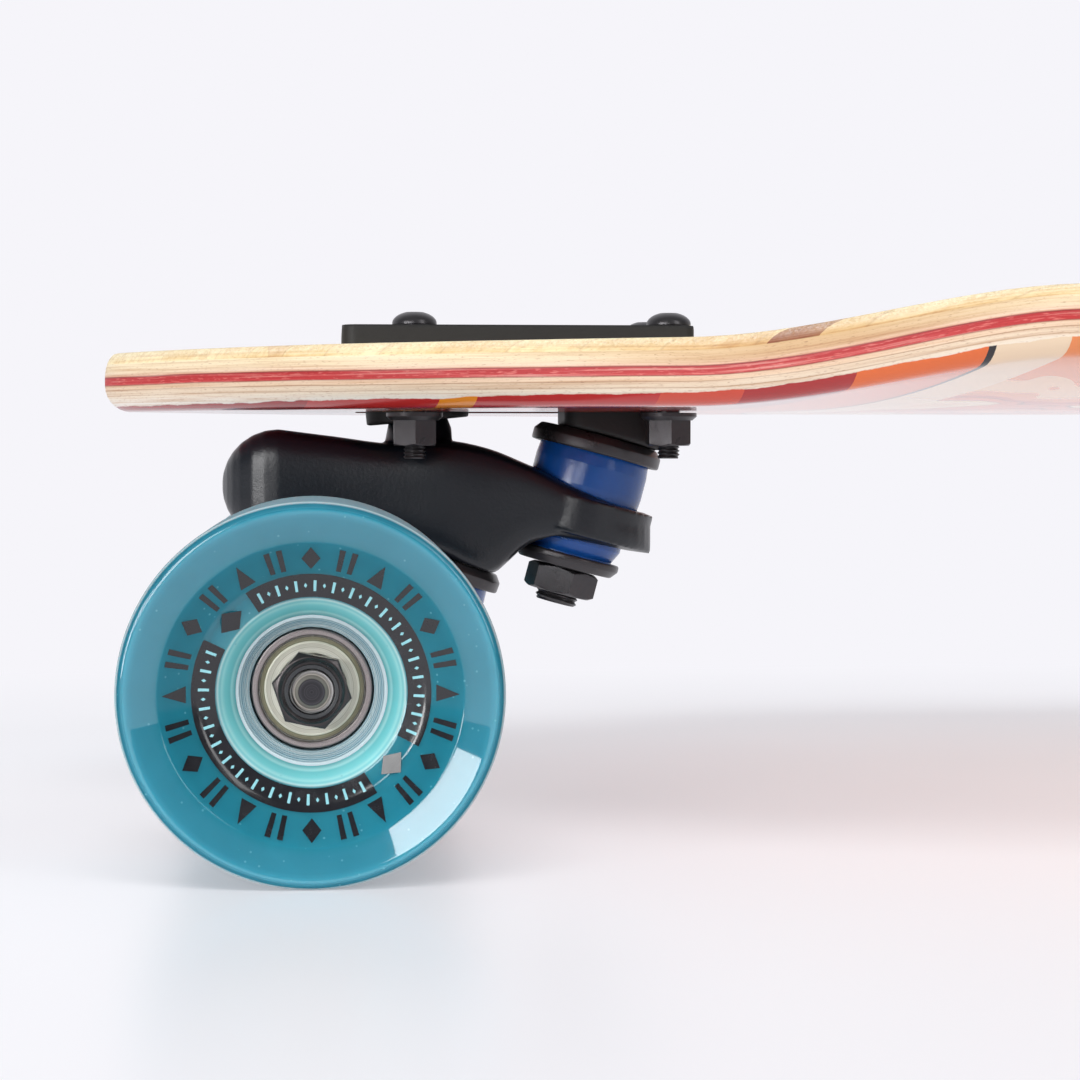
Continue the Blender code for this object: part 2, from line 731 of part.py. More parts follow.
def make_road_bushing(name, parent):
    """A tapered bushing between the ring and the road-side washer."""
    top = -ROAD_BUSHING_TOP
    low = top - ROAD_BUSHING_LENGTH
    profile = [
        (BORE_RADIUS, top),
        (ROAD_BUSHING_RADIUS, top),
        (ROAD_BUSHING_RADIUS, (top + low) / 2),
        (ROAD_BUSHING_END_DIAMETER / 2, low + ROAD_CUP_DEPTH),
        (ROAD_BUSHING_END_DIAMETER / 2, low),
        (BORE_RADIUS, low),
    ]
    piece(name, turned(profile, HUB_STEPS), "blue_urethane", parent)


def make_kingpin_stack(prefix, parent, grip):
    make_kingpin(f"{prefix}_kingpin", parent, grip)
    make_board_washer(f"{prefix}_washer_board", parent)
    make_board_bushing(f"{prefix}_bushing_board", parent)
    make_road_bushing(f"{prefix}_bushing_road", parent)
    make_road_washer(f"{prefix}_washer_road", parent)


def ring_blank():
    return cylinder(RING_RADIUS, -RING_BOTTOM, -RING_TOP)


def ring_cutter():
    """The bore and both bushing recesses of a ring, in its kingpin's frame."""
    profile = [
        (0, 0),
        (BOARD_RECESS_RADIUS, 0),
        (BOARD_RECESS_RADIUS, -WEB_TOP),
        (RING_BORE_RADIUS, -WEB_TOP),
        (RING_BORE_RADIUS, -WEB_BOTTOM),
        (ROAD_RECESS_RADIUS, -WEB_BOTTOM),
        (ROAD_RECESS_RADIUS, -RING_BOTTOM - ROAD_CUP_DEPTH),
        (RELIEF_RADIUS, -RING_BOTTOM - ROAD_CUP_DEPTH),
        (RELIEF_RADIUS, -KINGPIN_END - KINGPIN_NUT_HEIGHT),
        (0, -KINGPIN_END - KINGPIN_NUT_HEIGHT),
    ]
    return turned(profile, HUB_STEPS)


def ring_place(seat, angle):
    """The middle of a ring, in the truck's frame."""
    return seat - RING_CENTRE * Vector((sin(angle), 0, cos(angle)))


def knuckle_sections():
    """Stations (x, top, bottom, half-width, squareness) from the bulb to the tip of the ring."""
    bulb = BULB_DIAMETER / 2
    ring = ring_place(UPPER_SEAT, UPPER_KINGPIN_TILT)
    tip = ring.x + RING_RADIUS
    tip_height = ring.z - tan(UPPER_KINGPIN_TILT) * RING_RADIUS
    half_ring = RING_HEIGHT / 2 / cos(UPPER_KINGPIN_TILT)

    def seat_line(x):
        return LOWER_SEAT.z - tan(LOWER_KINGPIN_TILT) * (x - LOWER_SEAT.x) - SEAT_ALLOWANCE

    def arm_top(x):
        return tip_height + half_ring + tan(ARM_TOP_SLOPE) * (tip - x)

    def arm_under(x):
        return tip_height - half_ring + tan(ARM_UNDER_SLOPE) * (tip - x)

    stations = []
    for share in BULB_STATIONS:
        chord = bulb * sqrt(1 - share * share)
        x, z = LOWER_PIVOT.x + share * bulb, LOWER_PIVOT.z
        stations.append((x, z + chord, z - chord, chord, ROUND))
    top = -KNUCKLE_TOP_DROP
    wide = KNUCKLE_WIDTH / 2
    arm = ARM_WIDTH / 2
    seat_start = LOWER_SEAT.x - SEAT_REACH
    seat_end = LOWER_SEAT.x + SEAT_REACH
    bulb_end = LOWER_PIVOT.x + bulb
    arm_start = ring.x - ARM_START * RING_RADIUS
    stations += [
        (bulb_end, (top + LOWER_PIVOT.z + bulb) / 2, seat_line(seat_start), bulb, BULB_END_FORM),
        (seat_start, top, seat_line(seat_start), (bulb + wide) / 2, WAIST_FORM),
        (LOWER_SEAT.x, top + KNUCKLE_HUMP, seat_line(LOWER_SEAT.x), wide, BODY_FORM),
        (seat_end, top - KNUCKLE_SHOULDER, seat_line(seat_end), wide, BODY_FORM),
        (arm_start, arm_top(arm_start), arm_under(arm_start) - ARM_THROAT, arm, BODY_FORM),
    ]
    for share in RING_STATIONS:
        x = ring.x + share * RING_RADIUS
        chord = RING_RADIUS * sqrt(1 - share * share)
        stations.append((x, arm_top(x), arm_under(x), chord, ARM_FORM))
    return stations


def make_knuckle(end, pivot):
    rings = []
    for x, top, bottom, half_width, squareness in knuckle_sections():
        section = rounded_section(half_width, (top - bottom) / 2, squareness)
        rings.append([Vector((x, y, (top + bottom) / 2 + z)) - UPPER_PIVOT for y, z in section])
    knuckle = piece(f"{end}_knuckle", loft(rings), "black_casting", pivot)
    upper_turn = tilt(UPPER_KINGPIN_TILT)
    lower_turn = tilt(LOWER_KINGPIN_TILT)
    nose_turn = tilt(LOWER_PIVOT_TILT)
    add(knuckle, moved(ring_blank(), UPPER_SEAT - UPPER_PIVOT, upper_turn))
    add(knuckle, moved(pivot_post(UPPER_POST_LENGTH, UPPER_POST_TAPER), (0, 0, 0), tilt(UPPER_PIVOT_TILT)))
    cut(knuckle, moved(ring_cutter(), UPPER_SEAT - UPPER_PIVOT, upper_turn))
    below_seat = cylinder(KNUCKLE_WIDTH / 2 + SEAT_REACH / 2, -KINGPIN_END, 0)
    cut(knuckle, moved(below_seat, LOWER_SEAT - UPPER_PIVOT, lower_turn))
    cut(knuckle, moved(kingpin_bore(LOWER_GRIP), LOWER_SEAT - UPPER_PIVOT, lower_turn))
    mouth = cylinder(BULB_DIAMETER / 2 + GAP, -LOWER_POST_LENGTH, -CUP_SKIRT - HOUSING_RIM)
    cut(knuckle, moved(mouth, LOWER_PIVOT - UPPER_PIVOT, nose_turn))
    cut(knuckle, moved(cup_bore(), LOWER_PIVOT - UPPER_PIVOT, nose_turn))


def along_axle(profile, steps):
    """A mesh turned about the axle from (radius, distance outboard) points, the same on both sides."""
    both = profile + [(radius, -y) for radius, y in reversed(profile)]
    return moved(turned(both, steps, Matrix.Rotation(-pi / 2, 3, "X")), AXLE - LOWER_PIVOT)


def hanger_arms():
    middle = HANGER_MIDDLE_DIAMETER / 2
    end = HANGER_END_DIAMETER / 2
    profile = [
        (0, HANGER_END),
        (end - HANGER_ROUND, HANGER_END),
        (end, HANGER_END - HANGER_ROUND),
        (end, HANGER_END - 2 * end),
        (middle - HANGER_ROUND, HANGER_BODY_WIDTH / 2),
        (middle, HANGER_BODY_WIDTH / 4),
    ]
    return along_axle(profile, SECTION_POINTS)


def axle_shaft():
    """The axle, with the speed washers, inner races and spacer of each wheel on it."""
    race = INNER_RACE_DIAMETER / 2
    axle = AXLE_DIAMETER / 2
    profile = [
        (0, AXLE_END),
        (axle - AXLE_CHAMFER, AXLE_END),
        (axle, AXLE_END - AXLE_CHAMFER),
        (axle, STACK_END),
        (race, STACK_END),
        (race, SPACER_END),
        (SPACER_DIAMETER / 2, SPACER_END),
        (SPACER_DIAMETER / 2, SPACER_START),
        (race, SPACER_START),
        (race, HANGER_END - HANGER_ROUND),
    ]
    return along_axle(profile, SMALL_STEPS)


def hanger_web():
    """The body between the axle and the ring."""
    ring = ring_place(LOWER_SEAT, LOWER_KINGPIN_TILT)
    half_ring = RING_HEIGHT / 2
    stations = (
        (AXLE.x, AXLE.z, HANGER_MIDDLE_DIAMETER / 2 - HANGER_ROUND, HANGER_BODY_WIDTH / 2),
        ((AXLE.x + ring.x) / 2, (AXLE.z + ring.z) / 2, HANGER_MIDDLE_DIAMETER / 3, HANGER_BODY_WIDTH / 2),
        (ring.x, ring.z, half_ring - GAP, RING_RADIUS - RING_WALL / 2),
    )
    rings = []
    for x, z, up, across in stations:
        section = rounded_section(across, up, BODY_FORM)
        rings.append([Vector((x, y, z + rise)) - LOWER_PIVOT for y, rise in section])
    return loft(rings)


def make_hanger(end, pivot):
    hanger = piece(f"{end}_hanger", hanger_arms(), "black_casting", pivot)
    turn = tilt(LOWER_KINGPIN_TILT)
    add(hanger, axle_shaft())
    add(hanger, hanger_web())
    add(hanger, moved(ring_blank(), LOWER_SEAT - LOWER_PIVOT, turn))
    add(hanger, moved(pivot_post(LOWER_POST_LENGTH, LOWER_POST_TAPER), (0, 0, 0), tilt(LOWER_PIVOT_TILT)))
    cut(hanger, moved(ring_cutter(), LOWER_SEAT - LOWER_PIVOT, turn))


def make_bolt(name, truck, x, y):
    """A domed mounting bolt with its flanged nut, from the top of the baseplate to under the deck."""
    head = BOLT_HEAD_DIAMETER / 2
    shank = BOLT_DIAMETER / 2
    flange = BOLT_FLANGE_DIAMETER / 2
    seat = BASEPLATE_HIGH + GAP
    flange_low = -GAP - BOLT_FLANGE_HEIGHT
    nut_low = flange_low - BOLT_NUT_HEIGHT
    tail = nut_low - BOLT_TAIL
    profile = [
        (0, seat + BOLT_HEAD_HEIGHT),
        (BOLT_DOME_SHARE * head, seat + BOLT_HEAD_HEIGHT - BOLT_DOME_DROP),
        (head, seat + BOLT_RIM_HEIGHT),
        (head, seat),
        (shank, seat),
        (shank, -GAP),
        (flange, -GAP),
        (flange, flange_low),
        (shank, flange_low),
        (shank, tail),
        (0, tail),
    ]
    bolt = piece(name, turned(profile, BOLT_STEPS), "black_steel", truck, (x, y, 0))
    add(bolt, prism(BOLT_NUT_FLATS, nut_low, flange_low + BOLT_FLANGE_HEIGHT / 2))


def make_bolts(end, truck):
    for row, x in zip(("outer", "inner"), BOLT_X):
        for side, sign in SIDES.items():
            make_bolt(f"{end}_bolt_{row}_{side}", truck, x, -ENDS[end] * sign * BOLT_COLUMNS / 2)


def tyre_profile():
    """The wheel's urethane in (radius, outboard distance from its middle), running down the outer side."""
    crest = WHEEL_DIAMETER / 2 - LIP_ROUND
    half = WHEEL_WIDTH / 2
    core = CORE_DIAMETER / 2 + GAP
    dish = DISH_DIAMETER / 2
    lip = []
    for step in range(LIP_STEPS + 1):
        angle = step / LIP_STEPS * pi / 2
        lip.append((crest + LIP_ROUND * sin(angle), half - LIP_ROUND + LIP_ROUND * cos(angle)))
    outboard = [
        (core, RACE_END - WHEEL_MIDDLE + CORE_STAND),
        (PRINT_INNER_DIAMETER / 2, half - PRINT_INNER_DEPTH),
        (PRINT_OUTER_DIAMETER / 2, half - PRINT_OUTER_DEPTH),
        (dish, half - DISH_DEPTH),
    ]
    inboard = [
        (dish, BACK_DISH_DEPTH - half),
        (core, RACE_START - WHEEL_MIDDLE - CORE_COLLAR),
    ]
    return outboard + lip + [(radius, -height) for radius, height in reversed(lip)] + inboard


def make_wheel(end, side, hanger):
    """A wheel about its own axle: +z is outboard and +x points to the floor."""
    sign = -ENDS[end] * SIDES[side]
    turn = Matrix(((0, -sign, 0), (0, 0, sign), (-1, 0, 0)))
    place = AXLE - LOWER_PIVOT + Vector((0, sign * WHEEL_MIDDLE, 0))
    hub = new_empty(f"{end}_{side}_wheel_axis", place, hanger, turn)
    piece(f"{end}_{side}_tyre", turned(tyre_profile(), WHEEL_STEPS), "teal_urethane", hub)
    outer = CORE_DIAMETER / 2
    seat = BEARING_DIAMETER / 2 + GAP
    shoulder = seat - CORE_SHOULDER
    inboard, outboard = RACE_START - WHEEL_MIDDLE, RACE_END - WHEEL_MIDDLE
    low, high = SPACER_START + GAP - WHEEL_MIDDLE, SPACER_END - GAP - WHEEL_MIDDLE
    profile = [
        (outer - CORE_LAND, outboard + CORE_STAND),
        (outer, outboard + CORE_STAND),
        (outer, inboard),
        (seat, inboard),
        (seat, low),
        (shoulder, low),
        (shoulder, high),
        (seat, high),
        (seat, outboard + CORE_STEP),
    ]
    piece(f"{end}_{side}_wheel_core", turned(profile, HUB_STEPS), "clear_core", hub)
    bearings = {"inboard": (RACE_START, -1), "outboard": (SPACER_END, 1)}
    for where, (start, facing) in bearings.items():
        middle = start + BEARING_WIDTH / 2 - WHEEL_MIDDLE
        mesh = turned(bearing_profile(), HUB_STEPS, Matrix.Rotation(0 if facing > 0 else pi, 3, "X"))
        piece(f"{end}_{side}_{where}_bearing", moved(mesh, (0, 0, middle)), "bearing_steel", hub)


def bearing_profile():
    """The outer ring of a bearing with its shields, recessed on its outward face."""
    outer = BEARING_DIAMETER / 2
    half = BEARING_WIDTH / 2
    inner = INNER_RACE_DIAMETER / 2 + GAP
    return [
        (outer, half),
        (outer, -half),
        (inner, -half),
        (inner, half - SHIELD_RECESS),
        (outer - BEARING_RING_WALL, half - SHIELD_RECESS),
        (outer - BEARING_RING_WALL, half),
    ]


def make_axle_nut(end, side, hanger):
    """A locking nut: a hexagon with a round collar."""
    sign = -ENDS[end] * SIDES[side]
    turn = Matrix(((0, -sign, 0), (0, 0, sign), (-1, 0, 0)))
    hex_height = AXLE_NUT_HEIGHT - AXLE_COLLAR_HEIGHT
    place = AXLE - LOWER_PIVOT + Vector((0, sign * AXLE_NUT_START, 0))
    mesh = moved(prism(AXLE_NUT_FLATS, 0, hex_height), (0, 0, 0), turn)
    nut = piece(f"{end}_{side}_axle_nut", mesh, "black_steel", hanger, place)
    add(nut, moved(cylinder(AXLE_COLLAR_DIAMETER / 2, hex_height / 2, AXLE_NUT_HEIGHT), (0, 0, 0), turn))
    bore = cylinder(AXLE_DIAMETER / 2 + GAP, -AXLE_NUT_HEIGHT, 2 * AXLE_NUT_HEIGHT)
    cut(nut, moved(bore, (0, 0, 0), turn))


def make_truck(end, truck):
    make_baseplate(end, truck)
    piece(
        f"{end}_baseplate_pivot_cup",
        turned(pivot_cup_profile(), SMALL_STEPS, tilt(UPPER_PIVOT_TILT)),
        "black_rubber",
        truck,
        UPPER_PIVOT,
    )
    make_bolts(end, truck)
    upper_axis = new_empty(f"{end}_upper_kingpin_axis", UPPER_SEAT, truck, tilt(UPPER_KINGPIN_TILT))
    make_kingpin_stack(f"{end}_upper", upper_axis, UPPER_GRIP)
    knuckle_pivot = new_empty(f"{end}_knuckle_pivot", UPPER_PIVOT, truck)
    make_knuckle(end, knuckle_pivot)
    piece(
        f"{end}_knuckle_pivot_cup",
        turned(pivot_cup_profile(), SMALL_STEPS, tilt(LOWER_PIVOT_TILT)),
        "black_rubber",
        knuckle_pivot,
        LOWER_PIVOT - UPPER_PIVOT,
    )
    lower_axis = new_empty(
        f"{end}_lower_kingpin_axis", LOWER_SEAT - UPPER_PIVOT, knuckle_pivot, tilt(LOWER_KINGPIN_TILT)
    )
    make_kingpin_stack(f"{end}_lower", lower_axis, LOWER_GRIP)
    hanger_pivot = new_empty(f"{end}_hanger_pivot", LOWER_PIVOT - UPPER_PIVOT, knuckle_pivot)
    make_hanger(end, hanger_pivot)
    for side in SIDES:
        make_axle_nut(end, side, hanger_pivot)
        make_wheel(end, side, hanger_pivot)


MATERIALS = {name: new_material(name, *values) for name, values in FINISHES.items()}
TRUCKS = {
    end: new_empty(
        f"{end}_truck",
        (sign * AXLE_X, 0, UNDERSIDE),
        turn=Matrix.Rotation(0 if sign < 0 else pi, 3, "Z"),
    )
    for end, sign in ENDS.items()
}
make_deck(TRUCKS)
for end, truck in TRUCKS.items():
    make_truck(end, truck)
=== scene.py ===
"""The drop-through longboard dressed for its photograph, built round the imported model.

Units are metres, +Z is up and +X runs along the deck. Each truck has its own frame, as in the part's source:
x from the axle towards the middle of the board, z from the deck's underside.
"""

from math import atan2, cos, pi, radians, sin, sqrt, tan

import bmesh
import bpy
import numpy as np
from mathutils import Matrix, Vector
from mathutils.geometry import interpolate_bezier


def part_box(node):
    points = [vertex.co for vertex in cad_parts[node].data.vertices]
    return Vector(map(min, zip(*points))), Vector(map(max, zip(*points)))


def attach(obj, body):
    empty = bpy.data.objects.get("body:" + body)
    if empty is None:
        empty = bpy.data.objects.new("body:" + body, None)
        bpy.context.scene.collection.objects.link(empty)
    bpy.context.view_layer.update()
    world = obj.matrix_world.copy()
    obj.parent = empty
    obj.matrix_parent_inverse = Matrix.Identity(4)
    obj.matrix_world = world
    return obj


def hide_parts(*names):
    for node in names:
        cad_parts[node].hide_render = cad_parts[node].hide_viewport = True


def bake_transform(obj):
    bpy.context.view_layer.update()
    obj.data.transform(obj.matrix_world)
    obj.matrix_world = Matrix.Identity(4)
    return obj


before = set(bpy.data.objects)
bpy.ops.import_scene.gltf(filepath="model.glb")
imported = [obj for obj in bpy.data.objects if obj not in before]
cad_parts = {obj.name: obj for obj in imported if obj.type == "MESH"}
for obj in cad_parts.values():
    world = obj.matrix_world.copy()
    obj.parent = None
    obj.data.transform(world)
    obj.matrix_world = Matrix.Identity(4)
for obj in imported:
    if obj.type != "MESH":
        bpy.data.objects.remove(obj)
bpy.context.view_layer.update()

MM = 0.001
GAP = 0.3 * MM
WELD = 0.001 * MM

# Deck
DECK_LENGTH = 1016 * MM
DECK_WIDTH = 248 * MM
DECK_THICKNESS = 12.7 * MM
TOP_EDGE_HEIGHT = 5.6 * MM
TOP_EDGE_INSET = 2.7 * MM
LOW_EDGE_HEIGHT = 5.8 * MM
LOW_EDGE_INSET = 5.6 * MM
NOSE_ROUND = 8 * MM
SHOULDER_WIDTH = 126 * MM
SHOULDER_FROM_TIP = 52 * MM
SHOULDER_SLOPE = 0.675
SHOULDER_REACH = 20 * MM
RAIL_FROM_TIP = 215 * MM
RAIL_REACH = 65 * MM
RAIL_RISE = 9.3 * MM
RISE_FROM_TIP = 114.5 * MM
RISE_LENGTH = 68 * MM
FLAT_SHARE = 0.25
NOSE_ROWS = 26
FLARE_ROWS = 40
RAIL_ROWS = 14
DECK_COLUMNS = 30
EDGE_ROUND_ROWS = 7
EDGE_SIDE_ROWS = 3

# Where the truck sits
AXLE_FROM_TIP = 45.7 * MM
TRUCK_HEIGHT = 51.4 * MM

# Baseplate
BASEPLATE_START = 5.8 * MM
BASEPLATE_LENGTH = 74.1 * MM
BASEPLATE_WIDTH = 56 * MM
BASEPLATE_THICKNESS = 5 * MM
BASEPLATE_CORNER = 3 * MM
BOSS_LENGTH = 21.5 * MM
BOSS_WIDTH = 26 * MM
BOSS_SHIFT = 2.2 * MM
BOSS_CORNER = 5 * MM
BOSS_FLARE = 3.5 * MM
SPINE_WIDTH = 10 * MM
SPINE_ABOVE_UNDERSIDE = 1.5 * MM
SLOT_CLEARANCE = 1 * MM
SLOT_CORNER = 6 * MM
ROOT_OVERLAP = 1 * MM

# Mounting bolts
BOLT_ROWS = 54 * MM
BOLT_COLUMNS = 41.3 * MM
BOLT_FROM_END = 4.8 * MM
BOLT_DIAMETER = 4.8 * MM
BOLT_HEAD_DIAMETER = 9.4 * MM
BOLT_HEAD_HEIGHT = 2.7 * MM
BOLT_RIM_HEIGHT = 0.4 * MM
BOLT_SOCKET_FLATS = 3 * MM
BOLT_SOCKET_DEPTH = 1.6 * MM
BOLT_NUT_FLATS = 8.8 * MM
BOLT_NUT_HEIGHT = 5.4 * MM
BOLT_FLANGE_DIAMETER = 12 * MM
BOLT_FLANGE_HEIGHT = 1.6 * MM
BOLT_TAIL = 2.7 * MM
BOLT_PITCH = 0.8 * MM
CROWN_FORM = (2.4, 0.6)
CROWN_SHARES = (0.5, 0.6, 0.7, 0.8, 0.88, 0.94, 0.98, 1)

# Pivots
PIVOT_BALL_DIAMETER = 10 * MM
SOCKET_PLAY = 0.5 * MM
CUP_DIAMETER = 17.2 * MM
CUP_ROOF = 1.7 * MM
CUP_SKIRT = 4.6 * MM
CUP_LIP = 1.1 * MM
HOUSING_WALL = 2.35 * MM
HOUSING_RIM = 0.45 * MM
UPPER_PIVOT_X = 22 * MM
UPPER_PIVOT_RISE = 3.1 * MM
UPPER_PIVOT_TILT = radians(-5.3)
UPPER_POST_TAPER = 0.3
UPPER_POST_LENGTH = 14 * MM
LOWER_PIVOT_X = -8 * MM
LOWER_PIVOT_DROP = 15.9 * MM
LOWER_PIVOT_TILT = radians(-26)
LOWER_POST_TAPER = 0.16
LOWER_POST_LENGTH = 30 * MM

# Kingpins, cup washers and bushings
KINGPIN_DIAMETER = 9.5 * MM
KINGPIN_PITCH = 1.06 * MM
KINGPIN_HEAD_DIAMETER = 13 * MM
KINGPIN_HEAD_HEIGHT = 4.5 * MM
KINGPIN_NUT_FLATS = 14 * MM
KINGPIN_NUT_HEIGHT = 5.7 * MM
KINGPIN_NUT_TURN = radians(12)
KINGPIN_TAIL = 2.2 * MM
UPPER_SEAT_X = 62.5 * MM
UPPER_SEAT_DROP = 5 * MM
UPPER_KINGPIN_TILT = radians(15)
UPPER_GRIP = 17 * MM
LOWER_SEAT_X = 27.5 * MM
LOWER_SEAT_DROP = 30.9 * MM
LOWER_KINGPIN_TILT = radians(20)
LOWER_GRIP = 18.5 * MM
WASHER_THICKNESS = 1.6 * MM
WASHER_WALL = 1.3 * MM
WASHER_CLEARANCE = 0.6 * MM
BOARD_CUP_DEPTH = 2.4 * MM
ROAD_CUP_DEPTH = 1.4 * MM
BOARD_BUSHING_DIAMETER = 25 * MM
BOARD_BUSHING_LENGTH = 14.3 * MM
BOARD_BUSHING_WAIST = 0.5 * MM
ROAD_BUSHING_DIAMETER = 22 * MM
ROAD_BUSHING_END_DIAMETER = 19.5 * MM
ROAD_BUSHING_LENGTH = 7.9 * MM

# Rings of knuckle and hanger, round the kingpins
RING_WALL = 2.7 * MM
RING_HEIGHT = 8.1 * MM
RING_WEB = 3 * MM
RING_PLAY = 1.9 * MM
RECESS_CLEARANCE = 0.8 * MM
RELIEF_CLEARANCE = 2.3 * MM

# Knuckle
BULB_DIAMETER = 24.4 * MM
KNUCKLE_WIDTH = 29.4 * MM
BULB_BREADTH = 1.1
KNUCKLE_TOP_DROP = 6.8 * MM
KNUCKLE_HUMP = 0.8 * MM
KNUCKLE_SHOULDER = 1 * MM
SEAT_REACH = 10 * MM
SEAT_ALLOWANCE = 1 * MM
ARM_WIDTH = 30 * MM
ARM_TOP_SLOPE = radians(22.5)
ARM_UNDER_SLOPE = radians(9)
ARM_THROAT = 1.9 * MM
ARM_START = 0.72
BULB_STATIONS = (-0.995, -0.97, -0.9, -0.8, -0.65, -0.45, -0.22, 0)
RING_STATIONS = (-0.3, 0, 0.25, 0.45, 0.6, 0.75, 0.86, 0.94, 0.98)
ROUND = 2
BULB_FORM = 4.6
BULB_END_FORM = 4.8
WAIST_FORM = 5
BODY_FORM = 5.5
ARM_FORM = 4

# Hanger and axle
HANGER_WIDTH = 140.4 * MM
HANGER_END_DIAMETER = 18 * MM
HANGER_MIDDLE_DIAMETER = 23 * MM
HANGER_BODY_WIDTH = 36 * MM
HANGER_ROUND = 1 * MM
AXLE_DIAMETER = 7.94 * MM
AXLE_PITCH = 1.06 * MM
AXLE_TAIL = 0.4 * MM
AXLE_CHAMFER = 0.7 * MM
AXLE_FACE_RADIUS = 2.4 * MM
SPEED_WASHER = 0.8 * MM
AXLE_NUT_FLATS = 12.7 * MM
AXLE_NUT_HEIGHT = 5.5 * MM
AXLE_NUT_TURN = radians(-11.2)
AXLE_COLLAR_DIAMETER = 11.4 * MM
AXLE_COLLAR_HEIGHT = 1.6 * MM
NYLON_DIAMETER = 10 * MM
NYLON_BORE = 8.3 * MM
NYLON_INNER_DROP = 0.45 * MM
NYLON_OUTER_DROP = 0.36 * MM

# Bearings and wheels
BEARING_DIAMETER = 22 * MM
BEARING_WIDTH = 7 * MM
BEARING_RING_WALL = 1.3 * MM
SHIELD_RECESS = 0.35 * MM
SHIELD_STEP_DIAMETER = 17 * MM
CRIMP_NOTCHES = 8
CRIMP_STEPS = 2
SHIELD_BEAD = 0.08 * MM
SHIELD_GROOVE = 0.25 * MM
BEAD_FOOT = 0.39 * MM
BEAD_HALF_WIDTH = 0.18 * MM
GROOVE_START = 0.36 * MM
CRIMP_WIDTH = 0.21 * MM
CRIMP_EDGE = 0.06 * MM
INNER_RACE_DIAMETER = 12.2 * MM
SPACER_LENGTH = 10 * MM
SPACER_DIAMETER = 10 * MM
CORE_DIAMETER = 27.4 * MM
CORE_SHOULDER = 1.8 * MM
CORE_STAND = 3.6 * MM
CORE_LAND = 0.5 * MM
CORE_STEP = 0.9 * MM
CORE_GROOVES = 6
CORE_GROOVE_DEPTH = 0.2 * MM
CORE_GROOVE_FORM = ((0.55, 0), (0.7, 1), (0.85, 1), (1, 0))
WHEEL_DIAMETER = 69 * MM
WHEEL_WIDTH = 46.4 * MM
WHEEL_INSET = 6.2 * MM
LIP_ROUND = 1.7 * MM
DISH_DIAMETER = 54.2 * MM
DISH_DEPTH = 1.9 * MM
DISH_ROUND = 1.2 * MM
PRINT_OUTER_DIAMETER = 40.6 * MM
PRINT_OUTER_DEPTH = 7.2 * MM
PRINT_INNER_DIAMETER = 33.8 * MM
PRINT_INNER_DEPTH = 7.7 * MM
CORE_COLLAR = 1 * MM
BACK_DISH_DEPTH = 2.2 * MM
INK_THICKNESS = 0.04 * MM
BOND = 0.02 * MM

# How finely the pieces are made
WHEEL_STEPS = 144
HUB_STEPS = 96
BOLT_STEPS = 72
SECTION_POINTS = 56
STATION_ROWS = 4
CORNER_POINTS = 9
FILLET_POINTS = 4
FILLET_LIMIT = 0.45
SUPPORT_MARGIN = 0.2 * MM
SUPPORTED_FROM = 5 * SUPPORT_MARGIN
THREAD_ROWS = 6
THREAD_DEPTH = 0.55
CHAMFER_ROWS = 5
NUT_CHAMFER = 0.55
NUT_FACE_SHARE = 0.97
CAST_GRAIN = 0.45 * MM
CAST_SMOOTHING = 4
CAST_SMOOTHING_SHARE = 0.5
SLOPE_PROBE = 0.2 * MM
DEPTH_ROUNDS = 3
SHARP_ANGLE = radians(34)

# Values worked out from the sizes above
UNDERSIDE = WHEEL_DIAMETER / 2 + TRUCK_HEIGHT
AXLE_X = DECK_LENGTH / 2 - AXLE_FROM_TIP
KINGPIN_RADIUS = KINGPIN_DIAMETER / 2
BORE_RADIUS = KINGPIN_RADIUS + GAP
BALL_RADIUS = PIVOT_BALL_DIAMETER / 2
CUP_RADIUS = CUP_DIAMETER / 2
SOCKET_RADIUS = BALL_RADIUS + SOCKET_PLAY
CUP_TOP = SOCKET_RADIUS + CUP_ROOF
HOUSING_RADIUS = CUP_RADIUS + GAP + HOUSING_WALL
BOARD_BUSHING_RADIUS = BOARD_BUSHING_DIAMETER / 2
ROAD_BUSHING_RADIUS = ROAD_BUSHING_DIAMETER / 2
BOARD_WASHER_RADIUS = BOARD_BUSHING_RADIUS + WASHER_CLEARANCE + WASHER_WALL
ROAD_WASHER_RADIUS = ROAD_BUSHING_END_DIAMETER / 2 + WASHER_CLEARANCE + WASHER_WALL
BOARD_RECESS_RADIUS = BOARD_BUSHING_RADIUS + RECESS_CLEARANCE
ROAD_RECESS_RADIUS = ROAD_BUSHING_RADIUS + RECESS_CLEARANCE
RING_RADIUS = BOARD_RECESS_RADIUS + RING_WALL
RING_BORE_RADIUS = KINGPIN_RADIUS + RING_PLAY
RELIEF_RADIUS = ROAD_WASHER_RADIUS + RELIEF_CLEARANCE
TREAD_RADIUS = WHEEL_DIAMETER / 2

# Depths along a kingpin, measured down from the face that its board-side washer seats on
BOARD_WASHER_TOP = GAP
BOARD_BUSHING_TOP = BOARD_WASHER_TOP + WASHER_THICKNESS + GAP
WEB_TOP = BOARD_BUSHING_TOP + BOARD_BUSHING_LENGTH + GAP
WEB_BOTTOM = WEB_TOP + RING_WEB
RING_CENTRE = (WEB_TOP + WEB_BOTTOM) / 2
RING_TOP = RING_CENTRE - RING_HEIGHT / 2
RING_BOTTOM = RING_CENTRE + RING_HEIGHT / 2
ROAD_BUSHING_TOP = WEB_BOTTOM + GAP
ROAD_WASHER_TOP = ROAD_BUSHING_TOP + ROAD_BUSHING_LENGTH + GAP
KINGPIN_NUT_TOP = ROAD_WASHER_TOP + WASHER_THICKNESS + GAP
KINGPIN_END = KINGPIN_NUT_TOP + KINGPIN_NUT_HEIGHT + KINGPIN_TAIL
KINGPIN_POCKET_HEIGHT = 5 * KINGPIN_HEAD_HEIGHT

